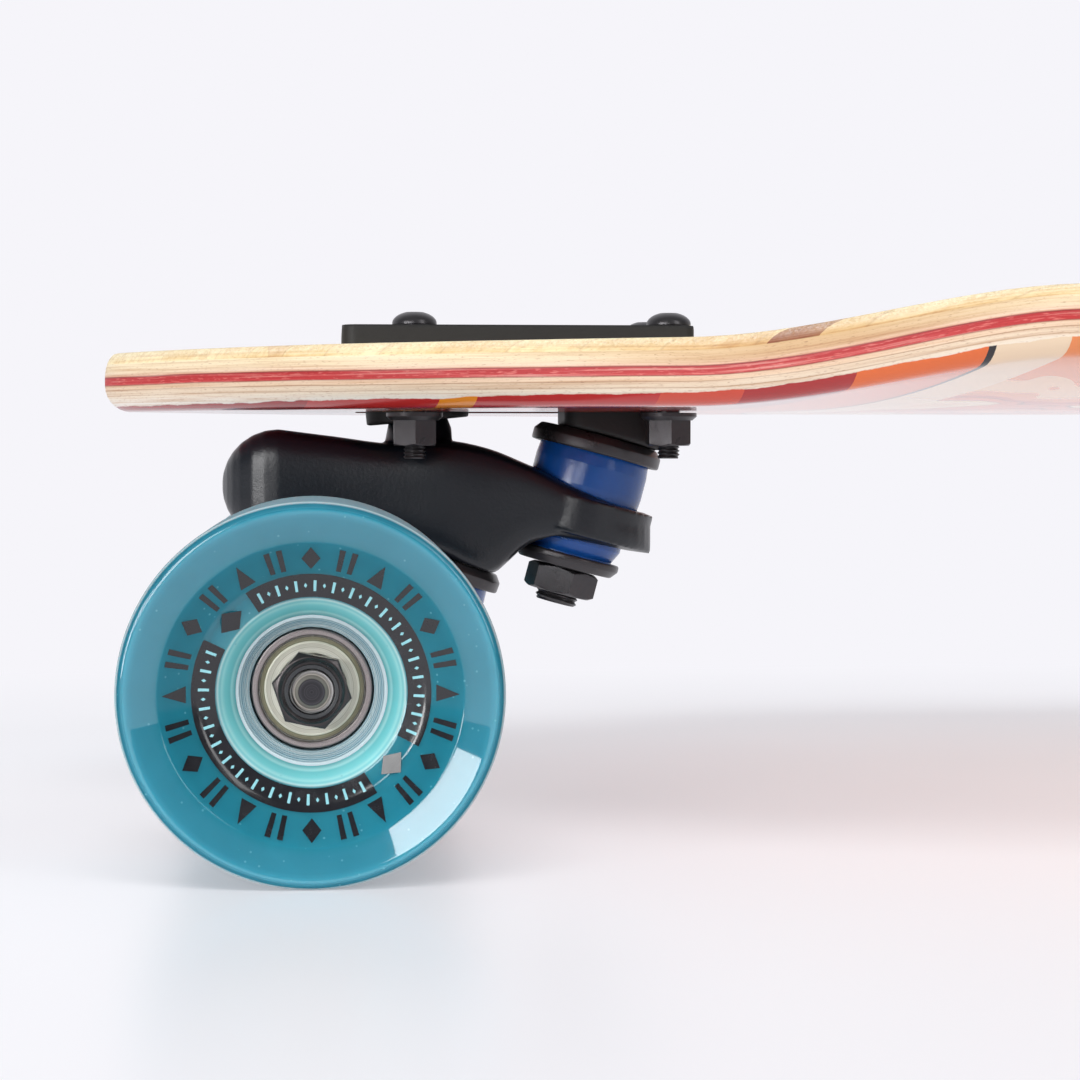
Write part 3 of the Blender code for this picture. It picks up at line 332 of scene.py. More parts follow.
# Distances along the axle, measured from the middle of the board
HANGER_END = HANGER_WIDTH / 2
RACE_START = HANGER_END + SPEED_WASHER
SPACER_START = RACE_START + BEARING_WIDTH
SPACER_END = SPACER_START + SPACER_LENGTH
RACE_END = SPACER_END + BEARING_WIDTH
STACK_END = RACE_END + SPEED_WASHER
AXLE_NUT_START = STACK_END + GAP
AXLE_END = AXLE_NUT_START + AXLE_NUT_HEIGHT + AXLE_TAIL
WHEEL_MIDDLE = HANGER_END + WHEEL_WIDTH / 2 - WHEEL_INSET

AXLE = Vector((0, 0, -TRUCK_HEIGHT))
UPPER_PIVOT = Vector((UPPER_PIVOT_X, 0, UPPER_PIVOT_RISE))
LOWER_PIVOT = Vector((LOWER_PIVOT_X, 0, -LOWER_PIVOT_DROP))
UPPER_SEAT = Vector((UPPER_SEAT_X, 0, -UPPER_SEAT_DROP))
LOWER_SEAT = Vector((LOWER_SEAT_X, 0, -LOWER_SEAT_DROP))
BASEPLATE_LOW = DECK_THICKNESS + GAP
BASEPLATE_HIGH = BASEPLATE_LOW + BASEPLATE_THICKNESS
BASEPLATE_END = BASEPLATE_START + BASEPLATE_LENGTH
BOLT_X = (BASEPLATE_END - BOLT_FROM_END - BOLT_ROWS, BASEPLATE_END - BOLT_FROM_END)
BOLT_PLACES = [Vector((x, y, 0)) for x in BOLT_X for y in (-BOLT_COLUMNS / 2, BOLT_COLUMNS / 2)]
BOLT_HOLE_RADIUS = BOLT_DIAMETER / 2 + GAP
BOSS_CENTRE = UPPER_SEAT_X + BOSS_SHIFT
BOSS_END = BOSS_CENTRE + BOSS_LENGTH / 2
SLOT_WIDTH = max(BOSS_WIDTH, 2 * HOUSING_RADIUS) + 2 * SLOT_CLEARANCE
ENDS = {"front": -1, "rear": 1}
SIDES = {"left": -1, "right": 1}


def tilt(angle):
    return Matrix.Rotation(angle, 4, "Y")


def at(place, turn=None):
    return Matrix.Translation(place) @ (turn or Matrix())


TRUCKS = {
    end: at((sign * AXLE_X, 0, UNDERSIDE), Matrix.Rotation(0 if sign < 0 else pi, 4, "Z"))
    for end, sign in ENDS.items()
}


def finished(points, faces):
    """A mesh with its doubles joined, its faces turned outward and its flowing faces shaded smooth."""
    mesh = bpy.data.meshes.new("piece")
    mesh.from_pydata([tuple(point) for point in points], [], faces)
    edit = bmesh.new()
    edit.from_mesh(mesh)
    bmesh.ops.remove_doubles(edit, verts=edit.verts, dist=WELD)
    bmesh.ops.recalc_face_normals(edit, faces=edit.faces)
    edit.to_mesh(mesh)
    edit.free()
    mesh.shade_smooth()
    mesh.set_sharp_from_angle(angle=SHARP_ANGLE)
    return mesh


def skin(rows, closed=False, capped=False):
    """A mesh through rows of points. A row of one point is a pole."""
    points = []
    firsts = []
    for row in rows:
        firsts.append(len(points))
        points += row
    pairs = list(zip(range(len(rows) - 1), range(1, len(rows))))
    if closed:
        pairs.append((len(rows) - 1, 0))
    faces = []
    for a, b in pairs:
        for i in range(max(len(rows[a]), len(rows[b]))):
            corners = (
                firsts[a] + i % len(rows[a]),
                firsts[a] + (i + 1) % len(rows[a]),
                firsts[b] + (i + 1) % len(rows[b]),
                firsts[b] + i % len(rows[b]),
            )
            faces.append(list(dict.fromkeys(corners)))
    if capped:
        faces.append(list(range(len(rows[0]))))
        faces.append(list(range(firsts[-1], firsts[-1] + len(rows[-1]))))
    return finished(points, faces)


def ring(radius, height, steps, flats=None):
    """A circle about Z, cut to a hexagon of this size across its flats."""
    if radius <= 0:
        return [(0, 0, height)]
    points = []
    for step in range(steps):
        angle = 2 * pi * step / steps
        reach = radius
        if flats:
            reach = min(radius, flats / 2 / cos((angle + pi / 6) % (pi / 3) - pi / 6))
        points.append((reach * cos(angle), reach * sin(angle), height))
    return points


def rings(profile, steps=HUB_STEPS):
    """Rows about Z through (radius, height) or (radius, height, flats)."""
    return [ring(*item[:2], steps, *item[2:]) for item in profile]


def turned(profile, steps=HUB_STEPS):
    """A mesh turned about Z, closed into a ring where its profile stays off the axis."""
    rows = rings(profile, steps)
    return skin(rows, closed=len(rows[0]) > 1)


def arc(radius, degrees):
    """Points (radius, height) of a round about Z, at these angles from its top."""
    return [(radius * sin(radians(angle)), radius * cos(radians(angle))) for angle in degrees]


def softened(profile, radius, closed=False):
    """The profile with its corners rounded."""
    count = len(profile)
    points = []
    for i, corner in enumerate(profile):
        if not closed and i in (0, count - 1):
            points.append(corner)
            continue
        corner = Vector(corner)
        before = Vector(profile[i - 1]) - corner
        after = Vector(profile[(i + 1) % count]) - corner
        half = before.angle(after) / 2
        reach = min(radius / tan(half), FILLET_LIMIT * before.length, FILLET_LIMIT * after.length)
        start = corner + before.normalized() * reach
        end = corner + after.normalized() * reach
        for step in range(FILLET_POINTS + 1):
            share = step / FILLET_POINTS
            point = start.lerp(corner, share).lerp(corner.lerp(end, share), share)
            points.append(tuple(point))
    return points


def supported(profile):
    """The profile with points near the ends of its long straight parts, which keep their shading flat."""
    points = []
    for point, following in zip(profile, profile[1:] + profile[:1]):
        points.append(point)
        step = Vector(following) - Vector(point)
        if step.length > SUPPORTED_FROM:
            margin = step.normalized() * SUPPORT_MARGIN
            points += [tuple(Vector(point) + margin), tuple(Vector(following) - margin)]
    return points


def thread(radius, start, end, steps, pitch):
    """Rows of a screw thread from one height to another."""
    count = max(2, round(abs(end - start) / pitch * THREAD_ROWS))
    rows = []
    for row in range(count + 1):
        height = start + (end - start) * row / count
        points = []
        for step in range(steps):
            angle = 2 * pi * step / steps
            phase = (height / pitch + angle / (2 * pi)) % 1
            reach = radius - pitch * THREAD_DEPTH * abs(2 * phase - 1)
            points.append((reach * cos(angle), reach * sin(angle), height))
        rows.append(points)
    return rows


def chamfered_hexagon(flats, start, end, first=True, last=True):
    """Rows of a hexagon whose corners are turned down to a cone at its ends."""
    corner = flats / 2 / cos(pi / 6)
    inner = flats / 2 * NUT_FACE_SHARE
    depth = (corner - inner) * NUT_CHAMFER
    up = 1 if end > start else -1
    rows = []
    if first:
        for row in range(CHAMFER_ROWS):
            share = row / CHAMFER_ROWS
            rows.append((inner + share * (corner - inner), start + up * depth * share, flats))
    rows.append((corner, start + up * depth * first, flats))
    rows.append((corner, end - up * depth * last, flats))
    if last:
        for row in range(CHAMFER_ROWS):
            share = 1 - (row + 1) / CHAMFER_ROWS
            rows.append((inner + share * (corner - inner), end - up * depth * share, flats))
    return rows


def new_object(name, data):
    made = bpy.data.objects.new(name, data)
    bpy.context.scene.collection.objects.link(made)
    return made


def evaluated(source):
    """The mesh that an object's modifiers make, in place of the object."""
    made = bpy.data.meshes.new_from_object(source.evaluated_get(bpy.context.evaluated_depsgraph_get()))
    bpy.data.objects.remove(source)
    return made


def worked(blanks, cutters):
    """The first blank with the others joined to it and the cutters taken away."""
    body = new_object("blank", blanks[0])
    helpers = []
    for operation, meshes in (("UNION", blanks[1:]), ("DIFFERENCE", cutters)):
        for mesh in meshes:
            helpers.append(new_object("helper", mesh))
            boolean = body.modifiers.new(operation, "BOOLEAN")
            boolean.operation = operation
            boolean.object = helpers[-1]
    made = evaluated(body)
    for helper in helpers:
        bpy.data.objects.remove(helper)
    return made


def casting(blanks, cutters):
    """A cast body, whose edges and inner corners are softened as a mould leaves them."""
    body = new_object("blank", worked(blanks, cutters))
    remesh = body.modifiers.new("grain", "REMESH")
    remesh.mode = "VOXEL"
    remesh.voxel_size = CAST_GRAIN
    remesh.use_smooth_shade = True
    smooth = body.modifiers.new("draft", "SMOOTH")
    smooth.factor = CAST_SMOOTHING_SHARE
    smooth.iterations = CAST_SMOOTHING
    return evaluated(body)


def set_at(mesh, place, turn=None):
    mesh.transform(at(place, turn))
    return mesh


def cylinder(radius, low, high, steps=HUB_STEPS):
    return turned([(0, high), (radius, high), (radius, low), (0, low)], steps)


def rounded_rectangle(start, end, width, corner):
    """Outline points of a rectangle along X with round corners."""
    centres = (
        (end - corner, width / 2 - corner, 0),
        (start + corner, width / 2 - corner, pi / 2),
        (start + corner, corner - width / 2, pi),
        (end - corner, corner - width / 2, 3 * pi / 2),
    )
    points = []
    for x, y, first in centres:
        for step in range(CORNER_POINTS):
            angle = first + step / (CORNER_POINTS - 1) * pi / 2
            points.append((x + corner * cos(angle), y + corner * sin(angle)))
    return points


def slab(outline, low, high):
    return skin([[(x, y, low) for x, y in outline], [(x, y, high) for x, y in outline]], capped=True)


def rounded_section(across, up, squareness):
    """Points (across, up) of a section of these half sizes, from ROUND for an ellipse to squarer forms."""
    share = ROUND / squareness
    points = []
    for step in range(SECTION_POINTS):
        angle = 2 * pi * (step + 0.5) / SECTION_POINTS
        side, rise = cos(angle), sin(angle)
        points.append(
            (
                across * abs(side) ** share * (1 if side > 0 else -1),
                up * abs(rise) ** share * (1 if rise > 0 else -1),
            )
        )
    return points


def flowing(stations, rows=STATION_ROWS):
    """More stations between those given, on a curve that runs smoothly through them all."""
    table = np.array(stations, float)
    x, values = table[:, 0], table[:, 1:]
    slopes = np.gradient(values, x, axis=0)
    made = []
    for i in range(len(x) - 1):
        length = x[i + 1] - x[i]
        for row in range(rows):
            t = row / rows
            blend = (
                (2 * t**3 - 3 * t**2 + 1) * values[i]
                + (t**3 - 2 * t**2 + t) * length * slopes[i]
                + (3 * t**2 - 2 * t**3) * values[i + 1]
                + (t**3 - t**2) * length * slopes[i + 1]
            )
            made.append((x[i] + t * length, *blend))
    made.append(tuple(table[-1]))
    return made


def smooth_step(value):
    value = np.clip(value, 0, 1)
    return value * value * (3 - 2 * value)


# Deck

def half_outline():
    """Points (distance from the tip, half-width) from the tip to the middle of the board."""
    shoulder = Vector((SHOULDER_FROM_TIP, SHOULDER_WIDTH / 2, 0))
    rail = Vector((RAIL_FROM_TIP, DECK_WIDTH / 2, 0))
    slope = Vector((1, SHOULDER_SLOPE, 0))
    nose = interpolate_bezier(
        Vector((0, 0, 0)),
        Vector((0, NOSE_ROUND, 0)),
        shoulder - SHOULDER_REACH * slope,
        shoulder,
        NOSE_ROWS + 1,
    )
    flare = interpolate_bezier(
        shoulder,
        shoulder + 2 * SHOULDER_REACH * slope,
        rail - Vector((RAIL_REACH, 0, 0)),
        rail,
        FLARE_ROWS + 1,
    )
    straight = [
        rail + Vector(((DECK_LENGTH / 2 - RAIL_FROM_TIP) * row / RAIL_ROWS, 0, 0))
        for row in range(1, RAIL_ROWS + 1)
    ]
    return np.array([point[:2] for point in nose[:-1] + flare + straight])


HALF_OUTLINE = half_outline()


def rail_rise(x, y):
    """How far the deck stands above its flat middle."""
    from_tip = DECK_LENGTH / 2 - np.abs(x)
    half_width = np.maximum(np.interp(from_tip, HALF_OUTLINE[:, 0], HALF_OUTLINE[:, 1]), MM)
    along = smooth_step((from_tip - RISE_FROM_TIP) / RISE_LENGTH)
    across = np.clip(np.abs(y) / half_width - FLAT_SHARE, 0, 1) / (1 - FLAT_SHARE)
    return RAIL_RISE * along * across**2


def into_deck(x, y, depth):
    """The places at these depths below the deck's top face, square to it."""
    step = SLOPE_PROBE
    lean_x = (rail_rise(x + step, y) - rail_rise(x - step, y)) / (2 * step)
    lean_y = (rail_rise(x, y + step) - rail_rise(x, y - step)) / (2 * step)
    length = np.sqrt(1 + lean_x**2 + lean_y**2)
    z = UNDERSIDE + DECK_THICKNESS + rail_rise(x, y)
    return np.stack((x + depth * lean_x / length, y + depth * lean_y / length, z - depth / length), -1)


def deck_edge():
    """(inset, depth) from the top face round the edge to the underside."""
    rows = []
    for row in range(EDGE_ROUND_ROWS + 1):
        angle = row / EDGE_ROUND_ROWS * pi / 2
        rows.append((TOP_EDGE_INSET * (1 - sin(angle)), TOP_EDGE_HEIGHT * (1 - cos(angle))))
    side = DECK_THICKNESS - TOP_EDGE_HEIGHT - LOW_EDGE_HEIGHT
    for row in range(1, EDGE_SIDE_ROWS):
        rows.append((0, TOP_EDGE_HEIGHT + side * row / EDGE_SIDE_ROWS))
    for row in range(EDGE_ROUND_ROWS + 1):
        angle = row / EDGE_ROUND_ROWS * pi / 2
        inset = LOW_EDGE_INSET * (1 - cos(angle))
        rows.append((inset, DECK_THICKNESS - LOW_EDGE_HEIGHT * (1 - sin(angle))))
    return rows


def deck_sections():
    """Closed loops across the deck from tip to tip, as (x, y, depth)."""
    front = HALF_OUTLINE - (DECK_LENGTH / 2, 0)
    outline = np.vstack((front, front[-2::-1] * (-1, 1)))
    before = np.vstack((outline[1] * (1, -1), outline[:-1]))
    after = np.vstack((outline[1:], outline[-2] * (1, -1)))
    along = after - before
    along /= np.linalg.norm(along, axis=1)[:, None]
    outward = np.stack((-along[:, 1], along[:, 0]), -1)
    edge = deck_edge()
    columns = 1 - 2 * np.arange(DECK_COLUMNS + 1) / DECK_COLUMNS
    sections = []
    for point, normal in zip(outline, outward):
        sides = [(*(point - inset * normal), depth) for inset, depth in edge]
        top, low = sides[0], sides[-1]
        loop = [(top[0], top[1] * column, top[2]) for column in columns]
        loop += [(x, -y, depth) for x, y, depth in sides[1:]]
        loop += [(low[0], low[1] * column, low[2]) for column in columns[-2::-1]]
        loop += sides[-2:0:-1]
        sections.append(loop)
    return np.array(sections)


def slot_ends():
    lean = abs(tan(UPPER_PIVOT_TILT)) * DECK_THICKNESS
    return UPPER_PIVOT_X - HOUSING_RADIUS - lean - SLOT_CLEARANCE, BOSS_END + SLOT_CLEARANCE


def deck_mesh():
    sections = deck_sections()
    places = into_deck(sections[..., 0], sections[..., 1], sections[..., 2])
    blank = skin([[tuple(place) for place in row] for row in places])
    cutters = []
    start, end = slot_ends()
    low, high = -DECK_THICKNESS, 2 * DECK_THICKNESS
    for truck in TRUCKS.values():
        slot = slab(rounded_rectangle(start, end, SLOT_WIDTH, SLOT_CORNER), low, high)
        slot.transform(truck)
        cutters.append(slot)
        for place in BOLT_PLACES:
            cutters.append(set_at(cylinder(BOLT_HOLE_RADIUS, low, high, BOLT_STEPS // 2), truck @ place))
    mesh = worked([blank], cutters)
    mesh.set_sharp_from_angle(angle=SHARP_ANGLE)
    record_depth(mesh)
    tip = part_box("deck")[1][0]
    mesh.transform(Matrix.Diagonal((tip / (DECK_LENGTH / 2), 1, 1, 1)))
    return mesh


def record_depth(mesh):
    """Each point's depth below the top face in millimetres, which the plies are coloured by."""
    places = np.empty(len(mesh.vertices) * 3)
    mesh.vertices.foreach_get("co", places)
    x, y, z = places.reshape(-1, 3).T
    depth = UNDERSIDE + DECK_THICKNESS + rail_rise(x, y) - z
    top_x, top_y = x, y
    for _ in range(DEPTH_ROUNDS):
        place = into_deck(top_x, top_y, depth)
        top_x = top_x - (place[:, 0] - x)
        top_y = top_y - (place[:, 1] - y)
        depth = depth + (place[:, 2] - z)
    kept = mesh.attributes.new("ply_depth", "FLOAT", "POINT")
    kept.data.foreach_set("value", (depth / MM).astype(np.float32))


# Castings

def cup_bore():
    return cylinder(CUP_RADIUS + GAP, -2 * CUP_SKIRT, CUP_TOP + GAP)


def pivot_post(length, taper):
    """A ball on a post that widens away from it."""
    ball = arc(BALL_RADIUS, range(0, 91, 10))
    return turned(ball + [(BALL_RADIUS + taper * length, -length), (0, -length)])


def kingpin_bore(grip):
    """The hole that a kingpin needs, with a pocket for its head, above the seat."""
    pocket = KINGPIN_HEAD_DIAMETER / 2 + 2 * GAP
    top = grip + KINGPIN_POCKET_HEIGHT
    return turned(
        [
            (0, top),
            (pocket, top),
            (pocket, grip - GAP),
            (BORE_RADIUS, grip - GAP),
            (BORE_RADIUS, -KINGPIN_END),
            (0, -KINGPIN_END),
        ]
    )


def kingpin_boss(root):
    """The boss under the plate, which widens towards the slanted seat of the upper washer."""
    start = BOSS_CENTRE - BOSS_LENGTH / 2
    low = rounded_rectangle(start, BOSS_END, BOSS_WIDTH, BOSS_CORNER)
    high = rounded_rectangle(start, BOSS_END - BOSS_FLARE, BOSS_WIDTH - BOSS_FLARE, BOSS_CORNER)
    slope = tan(UPPER_KINGPIN_TILT)
    seat = [(x, y, UPPER_SEAT.z - slope * (x - UPPER_SEAT.x)) for x, y in low]
    return skin([seat, [(x, y, root) for x, y in high]], capped=True)


def baseplate_mesh():
    outline = rounded_rectangle(BASEPLATE_START, BASEPLATE_END, BASEPLATE_WIDTH, BASEPLATE_CORNER)
    root = BASEPLATE_LOW + ROOT_OVERLAP
    low = -CUP_SKIRT - HOUSING_RIM
    high = (root - UPPER_PIVOT_RISE) / cos(UPPER_PIVOT_TILT)
    spine = rounded_rectangle(UPPER_PIVOT_X, BOSS_CENTRE, SPINE_WIDTH, SPINE_WIDTH / 4)
    blanks = [
        slab(outline, BASEPLATE_LOW, BASEPLATE_HIGH),
        kingpin_boss(root),
        set_at(cylinder(HOUSING_RADIUS, low, high), UPPER_PIVOT, tilt(UPPER_PIVOT_TILT)),
        slab(spine, SPINE_ABOVE_UNDERSIDE, root),
    ]
    cutters = [
        set_at(cup_bore(), UPPER_PIVOT, tilt(UPPER_PIVOT_TILT)),
        set_at(kingpin_bore(UPPER_GRIP), UPPER_SEAT, tilt(UPPER_KINGPIN_TILT)),
    ]
    for place in BOLT_PLACES:
        cutters.append(set_at(cylinder(BOLT_HOLE_RADIUS, 0, 2 * BASEPLATE_HIGH, BOLT_STEPS), place))
    return casting(blanks, cutters)


def ring_blank():
    return cylinder(RING_RADIUS, -RING_BOTTOM, -RING_TOP)


def ring_cutter():
    """The bore and both bushing recesses of a ring, in its kingpin's frame."""
    low = -KINGPIN_END - KINGPIN_NUT_HEIGHT
    return turned(
        [
            (0, 0),
            (BOARD_RECESS_RADIUS, 0),
            (BOARD_RECESS_RADIUS, -WEB_TOP),
            (RING_BORE_RADIUS, -WEB_TOP),
            (RING_BORE_RADIUS, -WEB_BOTTOM),
            (ROAD_RECESS_RADIUS, -WEB_BOTTOM),
            (ROAD_RECESS_RADIUS, -RING_BOTTOM - ROAD_CUP_DEPTH),
            (RELIEF_RADIUS, -RING_BOTTOM - ROAD_CUP_DEPTH),
            (RELIEF_RADIUS, low),
            (0, low),
        ]
    )


def ring_place(seat, angle):
    """The middle of a ring, in the truck's frame."""
    return seat - RING_CENTRE * Vector((sin(angle), 0, cos(angle)))


def knuckle_sections():
    """Stations (x, top, bottom, half-width, squareness) from the bulb to the tip of the ring."""
    bulb = BULB_DIAMETER / 2
    ring_middle = ring_place(UPPER_SEAT, UPPER_KINGPIN_TILT)
    tip = ring_middle.x + RING_RADIUS
    tip_height = ring_middle.z - tan(UPPER_KINGPIN_TILT) * RING_RADIUS
    half_ring = RING_HEIGHT / 2 / cos(UPPER_KINGPIN_TILT)

    def seat_line(x):
        return LOWER_SEAT.z - tan(LOWER_KINGPIN_TILT) * (x - LOWER_SEAT.x) - SEAT_ALLOWANCE

    def arm_top(x):
        return tip_height + half_ring + tan(ARM_TOP_SLOPE) * (tip - x)

    def arm_under(x):
        return tip_height - half_ring + tan(ARM_UNDER_SLOPE) * (tip - x)

    round_end = []
    for share in BULB_STATIONS:
        chord = bulb * sqrt(1 - share * share)
        x, z = LOWER_PIVOT.x + share * bulb, LOWER_PIVOT.z
        round_end.append((x, z + chord, z - chord, BULB_BREADTH * chord, BULB_FORM))
    top = -KNUCKLE_TOP_DROP
    wide = KNUCKLE_WIDTH / 2
    seat_start = LOWER_SEAT.x - SEAT_REACH
    seat_end = LOWER_SEAT.x + SEAT_REACH
    bulb_end = LOWER_PIVOT.x + bulb
    bulb_wide = BULB_BREADTH * bulb
    arm_start = ring_middle.x - ARM_START * RING_RADIUS
    arm_width = ARM_WIDTH / 2
    body = [
        round_end[-1],
        (bulb_end, (top + LOWER_PIVOT.z + bulb) / 2, seat_line(seat_start), bulb_wide, BULB_END_FORM),
        (seat_start, top, seat_line(seat_start), (bulb_wide + wide) / 2, WAIST_FORM),
        (LOWER_SEAT.x, top + KNUCKLE_HUMP, seat_line(LOWER_SEAT.x), wide, BODY_FORM),
        (seat_end, top - KNUCKLE_SHOULDER, seat_line(seat_end), wide, BODY_FORM),
        (arm_start, arm_top(arm_start), arm_under(arm_start) - ARM_THROAT, arm_width, BODY_FORM),
    ]
    ring_end = []
    for share in RING_STATIONS:
        x = ring_middle.x + share * RING_RADIUS
        chord = RING_RADIUS * sqrt(1 - share * share)
        ring_end.append((x, arm_top(x), arm_under(x), chord, ARM_FORM))
    return round_end[:-1] + flowing(body + ring_end[:1])[:-1] + ring_end


def knuckle_mesh():
    sections = []
    for x, top, bottom, half_width, squareness in knuckle_sections():
        section = rounded_section(half_width, (top - bottom) / 2, squareness)
        sections.append([(x, y, (top + bottom) / 2 + z) for y, z in section])
    below_seat = cylinder(KNUCKLE_WIDTH / 2 + SEAT_REACH / 2, -KINGPIN_END, 0)
    mouth = cylinder(BULB_DIAMETER / 2 + GAP, -LOWER_POST_LENGTH, -CUP_SKIRT - HOUSING_RIM)
    blanks = [
        skin(sections, capped=True),
        set_at(ring_blank(), UPPER_SEAT, tilt(UPPER_KINGPIN_TILT)),
        set_at(pivot_post(UPPER_POST_LENGTH, UPPER_POST_TAPER), UPPER_PIVOT, tilt(UPPER_PIVOT_TILT)),
    ]
    cutters = [
        set_at(ring_cutter(), UPPER_SEAT, tilt(UPPER_KINGPIN_TILT)),
        set_at(below_seat, LOWER_SEAT, tilt(LOWER_KINGPIN_TILT)),
        set_at(kingpin_bore(LOWER_GRIP), LOWER_SEAT, tilt(LOWER_KINGPIN_TILT)),
        set_at(mouth, LOWER_PIVOT, tilt(LOWER_PIVOT_TILT)),
        set_at(cup_bore(), LOWER_PIVOT, tilt(LOWER_PIVOT_TILT)),
    ]
    return casting(blanks, cutters)


def along_axle(profile, steps=HUB_STEPS):
    """A mesh turned about the axle from (radius, distance outboard) points, the same on both sides."""
    both = profile + [(radius, -y) for radius, y in reversed(profile)]
    return set_at(turned(both, steps), AXLE, Matrix.Rotation(-pi / 2, 4, "X"))


def hanger_arms():
    middle = HANGER_MIDDLE_DIAMETER / 2
    end = HANGER_END_DIAMETER / 2
    return along_axle(
        [
            (0, HANGER_END),
            (end - HANGER_ROUND, HANGER_END),
            (end, HANGER_END - HANGER_ROUND),
            (end, HANGER_END - 2 * end),
            (middle - HANGER_ROUND, HANGER_BODY_WIDTH / 2),
            (middle, HANGER_BODY_WIDTH / 4),
        ]
    )


def hanger_web():
    """The body between the axle and the ring."""
    ring_middle = ring_place(LOWER_SEAT, LOWER_KINGPIN_TILT)
    wide = HANGER_BODY_WIDTH / 2
    stations = (
        (AXLE.x, AXLE.z, HANGER_MIDDLE_DIAMETER / 2 - HANGER_ROUND, wide),
        ((AXLE.x + ring_middle.x) / 2, (AXLE.z + ring_middle.z) / 2, HANGER_MIDDLE_DIAMETER / 3, wide),
        (ring_middle.x, ring_middle.z, RING_HEIGHT / 2 - GAP, RING_RADIUS - RING_WALL / 2),
    )
    sections = []
    for x, z, up, across in flowing(stations, 2 * STATION_ROWS):
        section = rounded_section(across, up, BODY_FORM)
        sections.append([(x, y, z + rise) for y, rise in section])
    return skin(sections, capped=True)


def hanger_mesh():
    bore = along_axle([(0, HANGER_END + GAP), (AXLE_DIAMETER / 2 + GAP / 2, HANGER_END + GAP)])
    blanks = [
        hanger_arms(),
        hanger_web(),
        set_at(ring_blank(), LOWER_SEAT, tilt(LOWER_KINGPIN_TILT)),
        set_at(pivot_post(LOWER_POST_LENGTH, LOWER_POST_TAPER), LOWER_PIVOT, tilt(LOWER_PIVOT_TILT)),
    ]
    return casting(blanks, [bore, set_at(ring_cutter(), LOWER_SEAT, tilt(LOWER_KINGPIN_TILT))])


def axle_mesh():
    """The axle, with the speed washers, inner races and spacer of each wheel on it."""
    race = INNER_RACE_DIAMETER / 2
    axle = AXLE_DIAMETER / 2
    spacer = SPACER_DIAMETER / 2
    stack = [
        (axle, STACK_END),
        (race, STACK_END),
        (race, RACE_END + GAP / 2),
        (race - GAP, RACE_END),
        (race, RACE_END - GAP / 2),
        (race, SPACER_END),
        (spacer, SPACER_END),
        (spacer, SPACER_START),
        (race, SPACER_START),
        (race, RACE_START),
        (race, HANGER_END),
        (axle, HANGER_END),
    ]
    outer = [
        (0, AXLE_END),
        (AXLE_FACE_RADIUS, AXLE_END),
        (AXLE_FACE_RADIUS + AXLE_CHAMFER, AXLE_END - AXLE_CHAMFER),
        (axle - GAP, AXLE_END - AXLE_CHAMFER),
    ]
    rows = rings(outer)
    rows += thread(axle, AXLE_END - AXLE_CHAMFER, STACK_END + GAP, HUB_STEPS, AXLE_PITCH)
    rows += rings(stack)
    mirrored = [[(x, y, -z) for x, y, z in row] for row in reversed(rows)]
    return set_at(skin(rows + mirrored), AXLE, Matrix.Rotation(-pi / 2, 4, "X"))


# Kingpin stacks

def kingpin_mesh(grip):
    """A kingpin from its head down to its nut, with its seat at z = 0."""
    head = KINGPIN_HEAD_DIAMETER / 2
    top = grip + KINGPIN_HEAD_HEIGHT
    nut_low = -KINGPIN_NUT_TOP - KINGPIN_NUT_HEIGHT
    pin = [
        (0, top),
        (head - 2 * GAP, top),
        (head, top - 2 * GAP),
        (head, grip),
        (KINGPIN_RADIUS, grip),
        (KINGPIN_RADIUS, -KINGPIN_NUT_TOP),
    ]
    nut = chamfered_hexagon(KINGPIN_NUT_FLATS, -KINGPIN_NUT_TOP, nut_low)
    rows = rings(pin + nut)
    rows += thread(KINGPIN_RADIUS, nut_low, GAP - KINGPIN_END, HUB_STEPS, KINGPIN_PITCH)
    rows += rings([(KINGPIN_RADIUS - 2 * GAP, -KINGPIN_END), (0, -KINGPIN_END)])
    made = skin(rows)
    made.transform(Matrix.Rotation(KINGPIN_NUT_TURN, 4, "Z"))
    return made


def cup_washer_mesh(radius, back, up, depth):
    """A cup washer with its flat back at this height, open upwards (up = 1) or downwards (up = -1)."""
    inner = radius - WASHER_WALL
    floor = back + up * WASHER_THICKNESS
    rim = floor + up * depth
    profile = [
        (BORE_RADIUS, back),
        (inner, back),
        (radius, floor),
        (radius, rim),
        (inner, rim),
        (inner, floor),
        (BORE_RADIUS, floor),
    ]
    return turned(softened(profile, WASHER_WALL / 2, closed=True))


def board_bushing_mesh():
    """A barrel bushing between the cup washer and the ring."""
    top = -BOARD_BUSHING_TOP
    low = top - BOARD_BUSHING_LENGTH
    end = BOARD_BUSHING_RADIUS - BOARD_BUSHING_WAIST
    profile = [
        (BORE_RADIUS, top),
        (end, top),
        (BOARD_BUSHING_RADIUS, (2 * top + low) / 3),
        (BOARD_BUSHING_RADIUS, (top + 2 * low) / 3),
        (end, low),
        (BORE_RADIUS, low),
    ]
    return turned(softened(profile, 2 * GAP, closed=True))


def road_bushing_mesh():
    """A tapered bushing between the ring and the road-side washer."""
    top = -ROAD_BUSHING_TOP
    low = top - ROAD_BUSHING_LENGTH
    profile = [
        (BORE_RADIUS, top),
        (ROAD_BUSHING_RADIUS, top),
        (ROAD_BUSHING_RADIUS, (top + low) / 2),
        (ROAD_BUSHING_END_DIAMETER / 2, low + ROAD_CUP_DEPTH),
        (ROAD_BUSHING_END_DIAMETER / 2, low),
        (BORE_RADIUS, low),
    ]
    return turned(softened(profile, 2 * GAP, closed=True))


